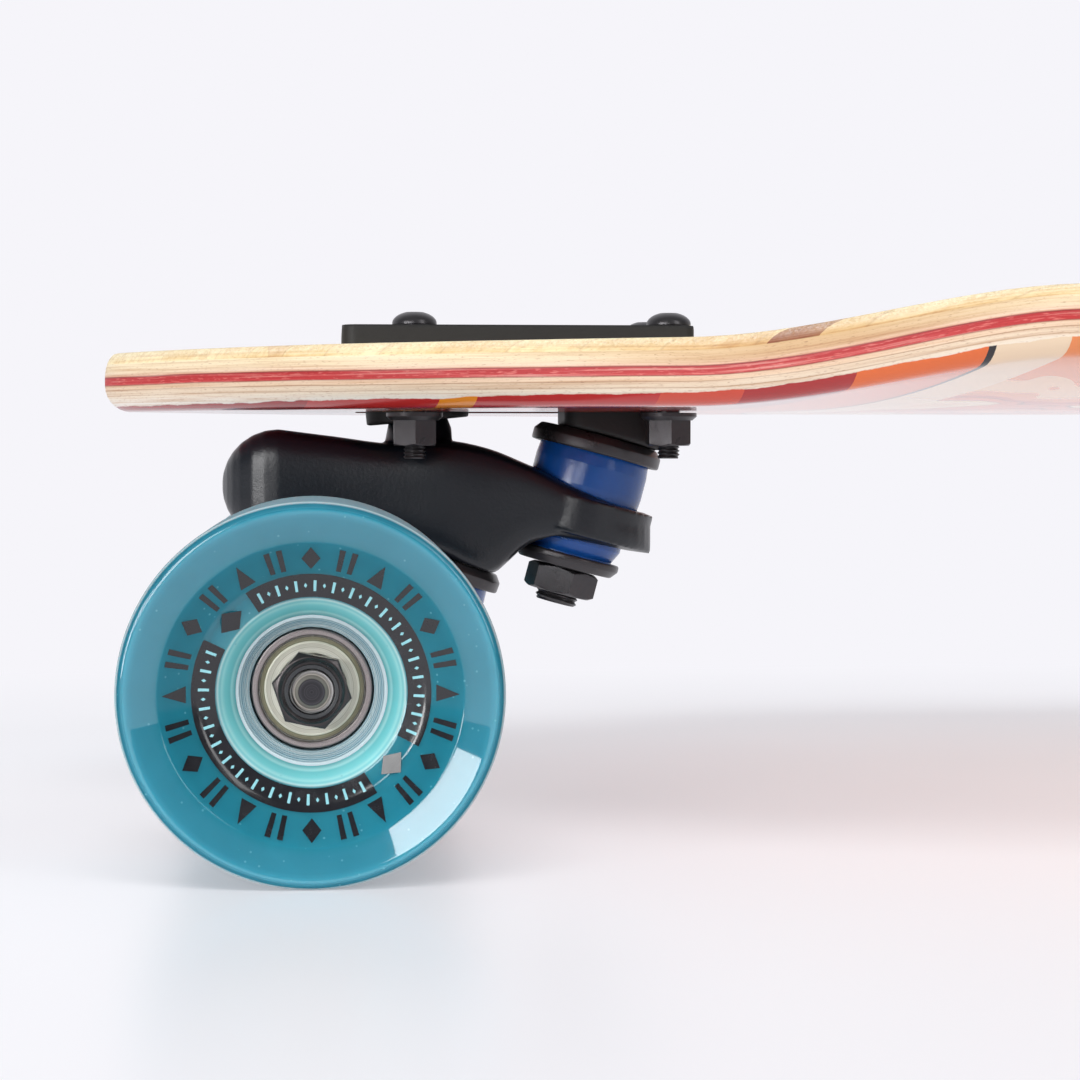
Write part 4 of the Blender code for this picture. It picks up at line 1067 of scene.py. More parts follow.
def pivot_cup_mesh():
    """A rubber cup about its ball's centre, open at the bottom."""
    outside = [
        (0, CUP_TOP),
        (CUP_RADIUS, CUP_TOP),
        (CUP_RADIUS, -CUP_SKIRT),
        (CUP_RADIUS - CUP_LIP, -CUP_SKIRT),
        (SOCKET_RADIUS, 0),
    ]
    return turned(softened(outside, 2 * GAP) + arc(SOCKET_RADIUS, range(75, -1, -15)))


def bolt_mesh():
    """A domed socket bolt with its flanged nut, from the top of the baseplate to under the deck."""
    head = BOLT_HEAD_DIAMETER / 2
    shank = BOLT_DIAMETER / 2
    flange = BOLT_FLANGE_DIAMETER / 2
    seat = BASEPLATE_HIGH + GAP
    flange_low = -GAP - BOLT_FLANGE_HEIGHT
    nut_low = flange_low - BOLT_NUT_HEIGHT
    tail = nut_low - BOLT_TAIL
    dome = BOLT_HEAD_HEIGHT - BOLT_RIM_HEIGHT

    def crown(radius):
        spread, rise = CROWN_FORM
        return seat + BOLT_RIM_HEIGHT + dome * (1 - min(radius / head, 1) ** spread) ** rise

    corner = BOLT_SOCKET_FLATS / 2 / cos(pi / 6)
    socket_floor = crown(0) - BOLT_SOCKET_DEPTH
    profile = [
        (0, socket_floor - GAP),
        (corner, socket_floor, BOLT_SOCKET_FLATS),
        (corner, crown(corner) - GAP / 2, BOLT_SOCKET_FLATS),
        (corner + GAP / 2, crown(corner)),
    ]
    profile += [(share * head, crown(share * head)) for share in CROWN_SHARES]
    profile += [
        (head, seat),
        (shank, seat),
        (shank, -GAP),
        (flange, -GAP),
        (flange, -GAP - BOLT_FLANGE_HEIGHT / 2),
        (BOLT_NUT_FLATS / 2 / cos(pi / 6), flange_low),
    ]
    profile += chamfered_hexagon(BOLT_NUT_FLATS, flange_low, nut_low, first=False)
    rows = rings(profile, BOLT_STEPS)
    rows += thread(shank, nut_low, tail + GAP, BOLT_STEPS, BOLT_PITCH)
    rows += rings([(shank - GAP, tail), (0, tail)], BOLT_STEPS)
    return skin(rows)


# Wheels

def tyre_profile():
    """The wheel's urethane in (radius, outboard distance from its middle), running down the outer side."""
    half = WHEEL_WIDTH / 2
    core = CORE_DIAMETER / 2 + BOND
    dish = DISH_DIAMETER / 2
    crest = TREAD_RADIUS - LIP_ROUND
    outboard = [
        (core, RACE_END - WHEEL_MIDDLE + CORE_STAND),
        (PRINT_INNER_DIAMETER / 2, half - PRINT_INNER_DEPTH),
        (PRINT_OUTER_DIAMETER / 2, half - PRINT_OUTER_DEPTH),
        (dish, half - DISH_DEPTH),
    ]
    lean = atan2(DISH_DEPTH, crest - dish)
    lip = []
    for step in range(2 * FILLET_POINTS + 1):
        angle = step / (2 * FILLET_POINTS) * (pi / 2 + lean) - lean
        lip.append((crest + LIP_ROUND * sin(angle), half - LIP_ROUND + LIP_ROUND * cos(angle)))
    back_lip = [(radius, -height) for radius, height in reversed(lip)]
    front = softened(outboard + lip[:1], DISH_ROUND)
    inboard = [
        back_lip[-1],
        (dish, BACK_DISH_DEPTH - half),
        (core, RACE_START - WHEEL_MIDDLE - CORE_COLLAR),
    ]
    return supported(front[:-1] + lip + back_lip[:-1] + softened(inboard, DISH_ROUND))


TYRE_PROFILE = tyre_profile()


def dish_height(radius):
    """How far outboard the front of the tyre stands at a distance from the axle."""
    front = [point for point in TYRE_PROFILE if point[1] > 0]
    crest = max(range(len(front)), key=lambda i: front[i][1])
    radii, heights = zip(*front[: crest + 1])
    return float(np.interp(radius, radii, heights))


def core_mesh():
    """The clear core, with turned grooves in the funnel down to its bearing."""
    outer = CORE_DIAMETER / 2
    seat = BEARING_DIAMETER / 2 + GAP
    shoulder = seat - CORE_SHOULDER
    inboard, outboard = RACE_START - WHEEL_MIDDLE, RACE_END - WHEEL_MIDDLE
    low, high = SPACER_START + GAP - WHEEL_MIDDLE, SPACER_END - GAP - WHEEL_MIDDLE
    mouth = Vector((outer - CORE_LAND, outboard + CORE_STAND))
    throat = Vector((seat, outboard + CORE_STEP))
    profile = [
        tuple(mouth),
        (outer, outboard + CORE_STAND),
        (outer, inboard),
        (seat, inboard),
        (seat, low),
        (shoulder, low),
        (shoulder, high),
        (seat, high),
        tuple(throat),
    ]
    for groove in range(CORE_GROOVES):
        for share, depth in CORE_GROOVE_FORM:
            place = throat.lerp(mouth, (groove + share) / (CORE_GROOVES + 0.5))
            profile.append((place.x + depth * CORE_GROOVE_DEPTH, place.y - depth * CORE_GROOVE_DEPTH))
    return turned(profile, WHEEL_STEPS)


def bearing_mesh():
    """The outer ring of a bearing, about its own middle, with its round edges."""
    outer = BEARING_DIAMETER / 2
    half = BEARING_WIDTH / 2
    inner = outer - BEARING_RING_WALL
    profile = [(outer, half), (outer, -half), (inner, -half), (inner, half)]
    return turned(softened(profile, GAP, closed=True), WHEEL_STEPS)


def shield_mesh():
    """A bearing's outward shield, crimped into its ring at evenly spaced notches."""
    inner = INNER_RACE_DIAMETER / 2 + GAP
    outer = BEARING_DIAMETER / 2 - BEARING_RING_WALL - GAP / 6
    step = SHIELD_STEP_DIAMETER / 2
    face = BEARING_WIDTH / 2 - SHIELD_RECESS
    back = face - BEARING_WIDTH / 2
    profile = [
        (inner, back),
        (inner, face - GAP / 2),
        (inner + GAP / 2, face),
        (step - BEAD_FOOT, face),
        (step - BEAD_HALF_WIDTH, face + SHIELD_BEAD),
        (step, face + SHIELD_BEAD),
        (step + BEAD_HALF_WIDTH, face),
        (step + GROOVE_START, face - SHIELD_GROOVE),
        (outer - CRIMP_WIDTH, face - SHIELD_GROOVE),
        (outer - CRIMP_EDGE, face - GAP / 4),
        (outer, face - GAP / 3),
        (outer, back),
    ]
    rows = rings(profile, WHEEL_STEPS)
    notch = WHEEL_STEPS // CRIMP_NOTCHES
    for row in (-3, -2):
        rows[row] = [(x, y, z - GAP * (i % notch < CRIMP_STEPS)) for i, (x, y, z) in enumerate(rows[row])]
    return skin(rows, closed=True)


def axle_nut_mesh():
    """A locking nut: a chamfered hexagon with a round collar rolled over its nylon ring."""
    hex_height = AXLE_NUT_HEIGHT - AXLE_COLLAR_HEIGHT
    bore = AXLE_DIAMETER / 2 + GAP
    collar = AXLE_COLLAR_DIAMETER / 2
    nylon = NYLON_DIAMETER / 2
    profile = [(bore, 0)] + chamfered_hexagon(AXLE_NUT_FLATS, 0, hex_height)
    rim = [
        (collar + GAP, hex_height),
        (collar, hex_height + GAP),
        (collar, AXLE_NUT_HEIGHT - 2 * GAP),
        (collar - GAP, AXLE_NUT_HEIGHT),
        (nylon, AXLE_NUT_HEIGHT - GAP),
        (nylon, hex_height),
        (bore, hex_height),
    ]
    made = turned(profile + rim, BOLT_STEPS * 2)
    made.transform(Matrix.Rotation(AXLE_NUT_TURN, 4, "Z"))
    return made


def nylon_mesh():
    low = AXLE_NUT_HEIGHT - AXLE_COLLAR_HEIGHT + GAP / 3
    outer = NYLON_DIAMETER / 2 - GAP / 6
    profile = [
        (NYLON_BORE / 2, AXLE_NUT_HEIGHT - NYLON_INNER_DROP),
        (outer, AXLE_NUT_HEIGHT - NYLON_OUTER_DROP),
        (outer, low),
        (NYLON_BORE / 2, low),
    ]
    return turned(softened(profile, GAP / 2, closed=True), BOLT_STEPS)


# Generic print on the wheel: no words, only plain marks like those on a dial
BAND_INNER = 17.2 * MM
BAND_OUTER = 21.4 * MM
BAND_ARCS = ((63, 213), (243, 393))
LOZENGE_PLACES = (48, 228)
LOZENGE_HALF_TURN = 8
BAND_MARGIN = 1.05 * MM
TICK_TURN = 5
TICK_HALF_TURN = 0.75
DOT_HALF_TURN = 0.9
DOT_RADIUS = 0.45 * MM
DIAL_INNER = 22.3 * MM
DIAL_OUTER = 26.3 * MM
DIAL_SLOTS = 24
DIAL_MARKS = ("diamond", "bars", "wedge", "bars")
DIAMOND_HALF_TURN = 4.0
WEDGE_HALF_TURN = 3.9
BAR_HALF_TURN = 1.15
BAR_SPREAD = 2.5
INK_ROWS = 6
INK_STEP = radians(1.5)


def patch(outline, lift):
    """A face on the front of the tyre from (radius, angle) corners, lifted off it."""
    return [(r * cos(a), r * sin(a), dish_height(r) + lift) for r, a in outline]


def lozenge(inner, outer, angle, half_turn, lift):
    middle = (inner + outer) / 2
    corners = ((inner, angle), (middle, angle + half_turn), (outer, angle), (middle, angle - half_turn))
    return patch(corners, lift)


def sector(inner, outer, start, end, lift):
    """Faces of an arc of ink between two radii and two angles."""
    columns = max(1, round((end - start) / INK_STEP))
    faces = []
    for row in range(INK_ROWS):
        low = inner + (outer - inner) * row / INK_ROWS
        high = inner + (outer - inner) * (row + 1) / INK_ROWS
        for column in range(columns):
            a = start + (end - start) * column / columns
            b = start + (end - start) * (column + 1) / columns
            faces.append(patch(((low, a), (high, a), (high, b), (low, b)), lift))
    return faces


def inked(faces):
    points = [point for face in faces for point in face]
    polygons = []
    first = 0
    for face in faces:
        polygons.append(list(range(first, first + len(face))))
        first += len(face)
    return finished(points, polygons)


def black_print():
    """Two arcs of a band with a lozenge between them, and round them diamonds, wedges and pairs of bars."""
    faces = []
    for start, end in BAND_ARCS:
        faces += sector(BAND_INNER, BAND_OUTER, radians(start), radians(end), INK_THICKNESS)
    half_turn = radians(LOZENGE_HALF_TURN)
    for turn in LOZENGE_PLACES:
        faces.append(lozenge(BAND_INNER, BAND_OUTER, radians(turn), half_turn, INK_THICKNESS))
    for slot in range(DIAL_SLOTS):
        angle = 2 * pi * slot / DIAL_SLOTS
        mark = DIAL_MARKS[slot % len(DIAL_MARKS)]
        if mark == "diamond":
            faces.append(lozenge(DIAL_INNER, DIAL_OUTER, angle, radians(DIAMOND_HALF_TURN), INK_THICKNESS))
        elif mark == "wedge":
            wedge = radians(WEDGE_HALF_TURN)
            corners = ((DIAL_INNER, angle + wedge), (DIAL_OUTER, angle), (DIAL_INNER, angle - wedge))
            faces.append(patch(corners, INK_THICKNESS))
        else:
            for shift in (-BAR_SPREAD, BAR_SPREAD):
                low = angle + radians(shift - BAR_HALF_TURN)
                high = angle + radians(shift + BAR_HALF_TURN)
                faces += sector(DIAL_INNER, DIAL_OUTER, low, high, INK_THICKNESS)
    return inked(faces)


def pale_print():
    """Ticks and dots left pale in the band."""
    faces = []
    inner, outer = BAND_INNER + BAND_MARGIN, BAND_OUTER - BAND_MARGIN
    middle = (inner + outer) / 2
    for start, end in BAND_ARCS:
        for turn in range(start + TICK_TURN, end - TICK_TURN + 1, TICK_TURN):
            angle = radians(turn)
            if (turn - start) % (2 * TICK_TURN):
                wide = radians(TICK_HALF_TURN)
                faces += sector(inner, outer, angle - wide, angle + wide, 2 * INK_THICKNESS)
            else:
                low, high = middle - DOT_RADIUS, middle + DOT_RADIUS
                faces.append(lozenge(low, high, angle, radians(DOT_HALF_TURN), 2 * INK_THICKNESS))
    return inked(faces)


# Finishes

# Colours in 0 to 255 are those of a screen. Depths below the deck's top face are in millimetres.
# A contrast holds two values of a pattern and the shares that they give.
NOISE_SPAN = (0.3, 0.7)

STRIP_WIDTH = 7.4 * MM
STRIP_LENGTH = 0.72
STRIP_TONES = {
    0.0: (250, 234, 190),
    0.3: (243, 220, 166),
    0.5: (248, 231, 186),
    0.66: (240, 213, 158),
    0.8: (247, 228, 180),
    0.9: (238, 208, 154),
    0.96: (222, 186, 136),
}
BROWN_STRIP_PLACE = -106.2 * MM
BROWN_STRIP_WIDTH = 3.6 * MM
BROWN_STRIP_END = -0.2
BROWN_STRIP_TONE = (160, 92, 58)
STRIP_FIBRES = (22, 700, 420)
STRIP_FIBRE_CONTRAST = (0.42, 0.7, 0.0, 0.55)
STRIP_FIBRE_TONE = (222, 186, 140)
STREAKS = (6, 160, 90)
STREAK_CONTRAST = (0.45, 0.68, 0.0, 0.45)
STREAK_TONE = (232, 198, 136)
JOINT_CONTRAST = (0.0, 0.03, 0.35, 0.0)
JOINT_TONE = (176, 130, 84)

# By depth in mm. The bottom plies are lightened towards 12.7 mm as painted light against the shade under the
# deck's edge.
PLY_COLOURS_AND_PAINTED_LIGHT = {
    0: (246, 232, 196),
    2.4: (240, 224, 186),
    2.6: (238, 219, 184),
    4.0: (232, 209, 175),
    4.9: (228, 198, 171),
    5.15: (222, 172, 146),
    5.35: (140, 52, 50),
    5.6: (184, 42, 47),
    6.9: (194, 50, 53),
    7.1: (150, 74, 64),
    7.3: (220, 186, 156),
    8.0: (226, 194, 164),
    8.15: (180, 140, 112),
    8.3: (226, 202, 176),
    9.2: (230, 208, 184),
    9.3: (200, 166, 138),
    9.45: (238, 219, 196),
    12.7: (250, 234, 214),
}
PLY_WAVE = 0.45
PLY_WAVES = (30.0, 3.0)
TOP_PLY = (2.3, 2.5)
EDGE_SQUASH = 0.1
EDGE_FIBRES = (30, 30, 21)
EDGE_FIBRES_GROW = (0.2, 1.2)
DARK_FIBRE_CONTRAST = (0.49, 0.66, 0.0, 0.55)
DARK_FIBRE_TONE = (214, 176, 142)
PALE_FIBRE_CONTRAST = (0.50, 0.36, 0.0, 0.5)
PALE_FIBRE_TONE = (252, 240, 220)
RED_PLY_STARTS = (5.4, 5.6)
RED_PLY_ENDS = (6.9, 7.1, 1.0, 0.0)
FLECKS = (420, 420, 30)
FLECK_CONTRAST = (0.56, 0.70, 0.0, 0.5)
FLECK_TONE = (228, 136, 126)
PORES = (900, 900, 70)
PORE_CONTRAST = (0.60, 0.72, 0.0, 0.5)
PORE_TONE = (176, 124, 92)
# Painted shade: the upper plies are darkened along the flare, from 84 to 176 mm from the tip.
FLARE_PAINTED_SHADE = (222, 200, 178)
FLARE_STARTS = (84 * MM, 128 * MM)
FLARE_ENDS = (142 * MM, 176 * MM, 1.0, 0.15)
FLARE_DEPTH_STARTS = (0.1, 2.6)
FLARE_DEPTH_ENDS = (4.6, 5.2, 1.0, 0.0)

PAINT_BORDER = (0.0, 110 * MM, 11.9, 10.05)
PAINT_SWAY = 1.0
PAINT_SWAYS = (9.0,)
PAINT_WANDER = 1.5
PAINT_WANDERS = (75.0, 5.0, 0.62)
PAINT_BLUR = 0.08
BLACK_LINE = (40, 36, 40)
ART_SHIFT = (0.0, 0.0, 0.31)
ART_STRETCH = (1, 1.35, 0)
ART_FORM = (9.0, 2.2, 0.42, 1.1)
ART_BANDS = 4.2
ART_COLOURS = {
    0.0: (226, 104, 48),
    0.20: BLACK_LINE,
    0.225: (244, 226, 200),
    0.46: (238, 196, 156),
    0.60: (232, 138, 82),
    0.84: (204, 70, 48),
    0.965: BLACK_LINE,
}
BARE_BAND_STARTS = (0.225, 0.23)
BARE_BAND_END = 0.46
BARE_SHARE = 0.75
TIP_PAINT = 152 * MM
TIP_BEND = -0.22
TIP_BANDS = {
    0: (158, 32, 36),
    32.5: (190, 46, 44),
    53.5: (234, 140, 36),
    59.5: (188, 46, 44),
    88: (206, 72, 50),
    101.5: (172, 42, 42),
    118.5: (228, 108, 50),
    138.6: BLACK_LINE,
    139.6: (238, 212, 182),
}

GRAINS_PER_METRE = 1500.0
GRAIN_CONTRAST = (0.0, 0.55, 1.0, 0.0)
# The near-white end of the grains' random tones is painted glints.
GRAIN_TONES_AND_PAINTED_GLINTS = ((206, 192, 168), (255, 252, 244))
GRAIN_SHARE = 0.30
CLUMPS = (300.0, 3.0)
CLUMP_CONTRAST = (0.35, 0.65, 0.4, 1.0)
GLINTS_PER_METRE = 2600.0
GRIT_EDGE = (0.9, 2.4, 1.0, 0.0)
GRIT_ROUGHNESS = 0.62
GRIT_RELIEF = 0.2 * MM

WOOD_TONES = ((244, 224, 186), (230, 200, 152))
WOOD_CONTRAST = (0.4, 0.7)
WOOD_ROUGHNESS = (0.42, 0.58)
WOOD_FIBRE_HEIGHT = 0.12
LACQUER_ROUGHNESS = 0.2
LACQUER = (12.2, 12.6, 0.2, 0.6)

# By radius in mm. The bright cyan bands from 13.9 to 16.8 mm and their near-white lines are painted glow and
# painted reflection lines by the core, and the tones darken from 33.4 mm to the rim as painted shade.
TYRE_TONES_AND_PAINTED_GLOW = {
    0: (116, 196, 202),
    13.9: (122, 210, 216),
    14.4: (176, 242, 244),
    14.7: (124, 214, 220),
    15.6: (140, 228, 233),
    16.1: (182, 245, 246),
    16.4: (134, 222, 228),
    16.8: (212, 250, 250),
    17.05: (64, 144, 158),
    19.5: (42, 132, 152),
    25.5: (40, 131, 152),
    27.3: (42, 136, 157),
    28.6: (54, 142, 164),
    31.5: (58, 146, 168),
    32.9: (72, 162, 184),
    33.4: (44, 132, 154),
    34.0: (32, 113, 133),
    34.5: (22, 94, 112),
}
CLOUDS = (60.0, 3.0)
CLOUD_TONE = (232, 240, 240)
BUBBLES_PER_METRE = 420.0
BUBBLE_CONTRAST = (0.05, 0.11, 0.5, 0.0)
BUBBLE_TONE = (120, 196, 208)
TREAD_TONE = (22, 104, 124)
TREAD_SHARE = 0.8
TREAD_GROUND = (TREAD_RADIUS - 0.25 * MM, TREAD_RADIUS - 0.05 * MM)
TREAD_ROUGHNESS = 0.62
TREAD_GRAIN = (2600.0, 2.0)
TREAD_RELIEF = 0.05 * MM
LIP_CREST = (TREAD_RADIUS - 1.6 * MM, TREAD_RADIUS - 0.6 * MM)
LIP_GLOSS = (DISH_DIAMETER / 2, DISH_DIAMETER / 2 + 0.4 * MM, 0.1, 1.0)
BAND_GLOSS = (BAND_OUTER, BAND_OUTER + 0.4 * MM, 0.6, 0.0)
TYRE_ROUGHNESS = (0.05, 0.12)
SMOOTH_RELIEF = 0.04

BEARING_TONES = ((176, 168, 166), (150, 142, 142))
BEARING_ROUGHNESS = (0.24, 0.34)
BEARING_LINES = 3000.0
BEARING_RELIEF = 0.006 * MM
ZONE_CONTRAST = (0.4, 0.62)
# By radius in mm. The paler rings, at 12.2 and 13.7 mm, are painted highlights on the glassy core.
CORE_ZONES_AND_PAINTED_HIGHLIGHTS = {
    0: (222, 238, 242),
    11.2: (206, 230, 236),
    12.2: (236, 246, 247),
    12.8: (200, 226, 233),
    13.7: (232, 245, 247),
}
# By radius in mm. The bright ring at 8.1 to 8.6 mm on the bead is a painted highlight; the darker olive ring
# over the groove from 8.72 mm and the near-black ring at the crimp from 9.5 mm are painted shade.
SHIELD_ZONES_AND_PAINTED_LIGHT = {
    0: (216, 214, 200),
    8.1: (236, 233, 220),
    8.6: (246, 246, 232),
    8.72: (150, 148, 122),
    9.35: (140, 136, 116),
    9.5: (70, 66, 60),
    9.7: (60, 56, 52),
}
AXLE_ZONES = {
    0: (70, 69, 74),
    2.35: (74, 73, 78),
    2.5: (206, 198, 186),
    3.2: (196, 190, 180),
    3.35: (150, 146, 142),
    4.2: (140, 136, 134),
}


def paint(red, green, blue):
    """A colour given in the 0 to 255 values of a screen, as the shaders take it."""
    parts = [value / 255 for value in (red, green, blue)]
    parts = [part / 12.92 if part <= 0.04045 else ((part + 0.055) / 1.055) ** 2.4 for part in parts]
    return (*parts, 1)


def fill(socket, value):
    """Gives a socket its value, or links it to the socket that has it."""
    if isinstance(value, bpy.types.NodeSocket):
        socket.id_data.links.new(value, socket)
    else:
        socket.default_value = value


def node(tree, kind, inputs=None, **settings):
    made = tree.nodes.new("ShaderNode" + kind)
    for name, value in settings.items():
        setattr(made, name, value)
    for socket, value in (inputs or {}).items():
        fill(made.inputs[socket], value)
    return made


def tree_of(values):
    """The node tree of the first of these values that is a node's."""
    return next(value.id_data for value in values if isinstance(value, bpy.types.NodeSocket))


def maths(operation, *values, kind="Math"):
    """A Math node's result."""
    return node(tree_of(values), kind, dict(enumerate(values)), operation=operation).outputs[0]


def product(first, second):
    return maths("MULTIPLY", first, second)


def split_up(place):
    """The x, y and z of a place."""
    return node(place.id_data, "SeparateXYZ", {0: place}).outputs


def joined(*parts):
    """The place with this x, y and z."""
    return node(tree_of(parts), "CombineXYZ", dict(enumerate(parts))).outputs[0]


def ramp(factor, colours, whole=1, interpolation="LINEAR"):
    """A colour ramp's colour, from {position: screen colour} with positions from 0 to the whole."""
    made = node(factor.id_data, "ValToRGB", {"Fac": factor})
    band = made.color_ramp
    band.interpolation = interpolation
    for position, colour in colours.items():
        element = band.elements.new(position / whole)
        element.color = paint(*colour)
    band.elements.remove(band.elements[0])
    band.elements.remove(band.elements[-1])
    return made.outputs["Color"]


def ranged(value, low, high, to_low=0.0, to_high=1.0):
    """A value carried from one range to another, kept between the two ends."""
    sockets = {"Value": value, "From Min": low, "From Max": high, "To Min": to_low, "To Max": to_high}
    return node(value.id_data, "MapRange", sockets).outputs["Result"]


def noise(place, scale=1.0, detail=2.0, roughness=0.5, distortion=0.0):
    sockets = {
        "Vector": place,
        "Scale": scale,
        "Detail": detail,
        "Roughness": roughness,
        "Distortion": distortion,
    }
    return node(place.id_data, "TexNoise", sockets).outputs["Fac"]


def wander(place, reach, *form):
    """A value that wanders to both sides of zero over this reach."""
    return product(maths("SUBTRACT", noise(place, *form), 0.5), reach)


def cells(place, scale):
    """The outputs of a pattern of rounded cells."""
    return node(place.id_data, "TexVoronoi", {"Vector": place, "Scale": scale}).outputs


def stretched(place, scale):
    """The place scaled along each axis, so that a pattern runs along or across the piece."""
    return maths("MULTIPLY", place, scale, kind="VectorMath")


def mixed(share, first, second, blend="MIX"):
    made = node(tree_of((share, first, second)), "Mix", data_type="RGBA", blend_type=blend)
    for socket, value in (("Factor", share), (6, first), (7, second)):
        fill(made.inputs[socket], value)
    return made.outputs[2]


def tinted(colour, tone):
    """A colour multiplied by a screen colour."""
    return mixed(1.0, colour, paint(*tone), "MULTIPLY")


def new_group(name, inputs, outputs):
    """A shader node group with named sockets."""
    tree = bpy.data.node_groups.new(name, "ShaderNodeTree")
    for direction, sockets in (("INPUT", inputs), ("OUTPUT", outputs)):
        for socket, kind in sockets.items():
            tree.interface.new_socket(socket, in_out=direction, socket_type="NodeSocket" + kind)
    return tree, tree.nodes.new("NodeGroupInput").outputs, tree.nodes.new("NodeGroupOutput").inputs


def used(group, inputs):
    """What a node group gives for these inputs."""
    return node(tree_of(inputs.values()), "Group", inputs, node_tree=group).outputs


def from_axis(place):
    """The distance of a place from the piece's own Z axis."""
    x, y, _ = split_up(place)
    return maths("SQRT", maths("ADD", maths("POWER", x, 2), maths("POWER", y, 2)))


def from_tip(x):
    """The distance of an x from the nearer tip of the deck."""
    return maths("SUBTRACT", DECK_LENGTH / 2, maths("ABSOLUTE", x))


def mottle_group():
    """Soft unevenness and fine grain, for the roughness and the relief of most finishes."""
    tree, given, out = new_group(
        "mottle",
        {"Place": "Vector", "Patch scale": "Float", "Grain scale": "Float"},
        {"Patches": "Float", "Grain": "Float"},
    )
    fill(out["Patches"], noise(given["Place"], given["Patch scale"], 3.0, 0.6))
    fill(out["Grain"], noise(given["Place"], given["Grain scale"]))
    return tree


def turned_lines_group():
    """The rings that a lathe leaves about the piece's own Z axis."""
    tree, given, out = new_group(
        "turned_lines", {"Place": "Vector", "Lines per metre": "Float"}, {"Lines": "Float"}
    )
    place = given["Place"]
    flat = joined(from_axis(place), 0.0, split_up(place)[2])
    fill(out["Lines"], noise(flat, given["Lines per metre"], 4.0, 0.7))
    return tree


def strips_group():
    """The strips that the top ply is laid up from, side by side along the board."""
    tree, given, out = new_group("top_strips", {"Place": "Vector"}, {"Color": "Color", "Fibres": "Float"})
    place = given["Place"]
    x, y, _ = split_up(place)
    across = maths("DIVIDE", y, STRIP_WIDTH)
    strip = maths("FLOOR", across)
    start = node(tree, "TexWhiteNoise", {"W": strip}, noise_dimensions="1D").outputs["Value"]
    along = maths("FLOOR", maths("ADD", maths("DIVIDE", x, STRIP_LENGTH), start))
    pair = joined(strip, along, 0.0)
    chosen = node(tree, "TexWhiteNoise", {"Vector": pair}, noise_dimensions="3D").outputs["Value"]
    brown = maths("COMPARE", y, BROWN_STRIP_PLACE, BROWN_STRIP_WIDTH / 2)
    brown = product(brown, maths("LESS_THAN", x, BROWN_STRIP_END))
    colour = mixed(brown, ramp(chosen, STRIP_TONES), paint(*BROWN_STRIP_TONE))
    fibres = noise(stretched(place, STRIP_FIBRES), detail=4.0, roughness=0.62)
    colour = mixed(ranged(fibres, *STRIP_FIBRE_CONTRAST), colour, tinted(colour, STRIP_FIBRE_TONE))
    streaks = noise(stretched(place, STREAKS), detail=3.0)
    colour = mixed(ranged(streaks, *STREAK_CONTRAST), colour, paint(*STREAK_TONE))
    joint = ranged(maths("PINGPONG", across, 0.5), *JOINT_CONTRAST)
    fill(out["Color"], mixed(joint, colour, paint(*JOINT_TONE)))
    fill(out["Fibres"], fibres)
    return tree


def plies_group():
    """The glued plies that show round the deck's edge, by their depth below the top face, with painted shade
    along the flare and painted light on the lowest plies.
    """
    tree, given, out = new_group(
        "plies",
        {"Place": "Vector", "Depth": "Float", "Top ply": "Color", "Paint": "Color"},
        {"Color": "Color", "Painted": "Float", "Fibres": "Float"},
    )
    place, depth = given["Place"], given["Depth"]
    x, y, _ = split_up(place)
    level = maths("ADD", depth, wander(place, PLY_WAVE, *PLY_WAVES))
    whole = DECK_THICKNESS / MM
    wood = ramp(maths("DIVIDE", level, whole), PLY_COLOURS_AND_PAINTED_LIGHT, whole)
    wood = mixed(ranged(level, *TOP_PLY, 1.0, 0.0), wood, given["Top ply"])

    laid = joined(x, y, product(depth, EDGE_SQUASH))
    fibres = noise(stretched(laid, EDGE_FIBRES), detail=6.0, roughness=0.66)
    side = ranged(depth, *EDGE_FIBRES_GROW)
    dark_share = product(ranged(fibres, *DARK_FIBRE_CONTRAST), side)
    wood = mixed(dark_share, wood, tinted(wood, DARK_FIBRE_TONE))
    pale_share = product(ranged(fibres, *PALE_FIBRE_CONTRAST), side)
    wood = mixed(pale_share, wood, mixed(0.5, wood, paint(*PALE_FIBRE_TONE)))
    red_ply = product(ranged(depth, *RED_PLY_STARTS), ranged(depth, *RED_PLY_ENDS))
    flecks = product(ranged(noise(stretched(laid, FLECKS)), *FLECK_CONTRAST), red_ply)
    wood = mixed(flecks, wood, paint(*FLECK_TONE))
    pores = noise(stretched(laid, PORES))
    wood = mixed(ranged(pores, *PORE_CONTRAST), wood, tinted(wood, PORE_TONE))

    inward = from_tip(x)
    # Painted shade on the upper plies along the flare.
    flare = product(ranged(inward, *FLARE_STARTS), ranged(inward, *FLARE_ENDS))
    upper = product(ranged(depth, *FLARE_DEPTH_STARTS), ranged(depth, *FLARE_DEPTH_ENDS))
    wood = mixed(product(flare, upper), wood, tinted(wood, FLARE_PAINTED_SHADE))
    slow, ragged = wander(place, PAINT_SWAY, *PAINT_SWAYS), wander(place, PAINT_WANDER, *PAINT_WANDERS)
    border = maths("ADD", ranged(inward, *PAINT_BORDER), maths("ADD", slow, ragged))
    painted = ranged(maths("SUBTRACT", depth, border), -PAINT_BLUR, PAINT_BLUR)
    fill(out["Color"], mixed(painted, wood, given["Paint"]))
    fill(out["Painted"], painted)
    fill(out["Fibres"], fibres)
    return tree


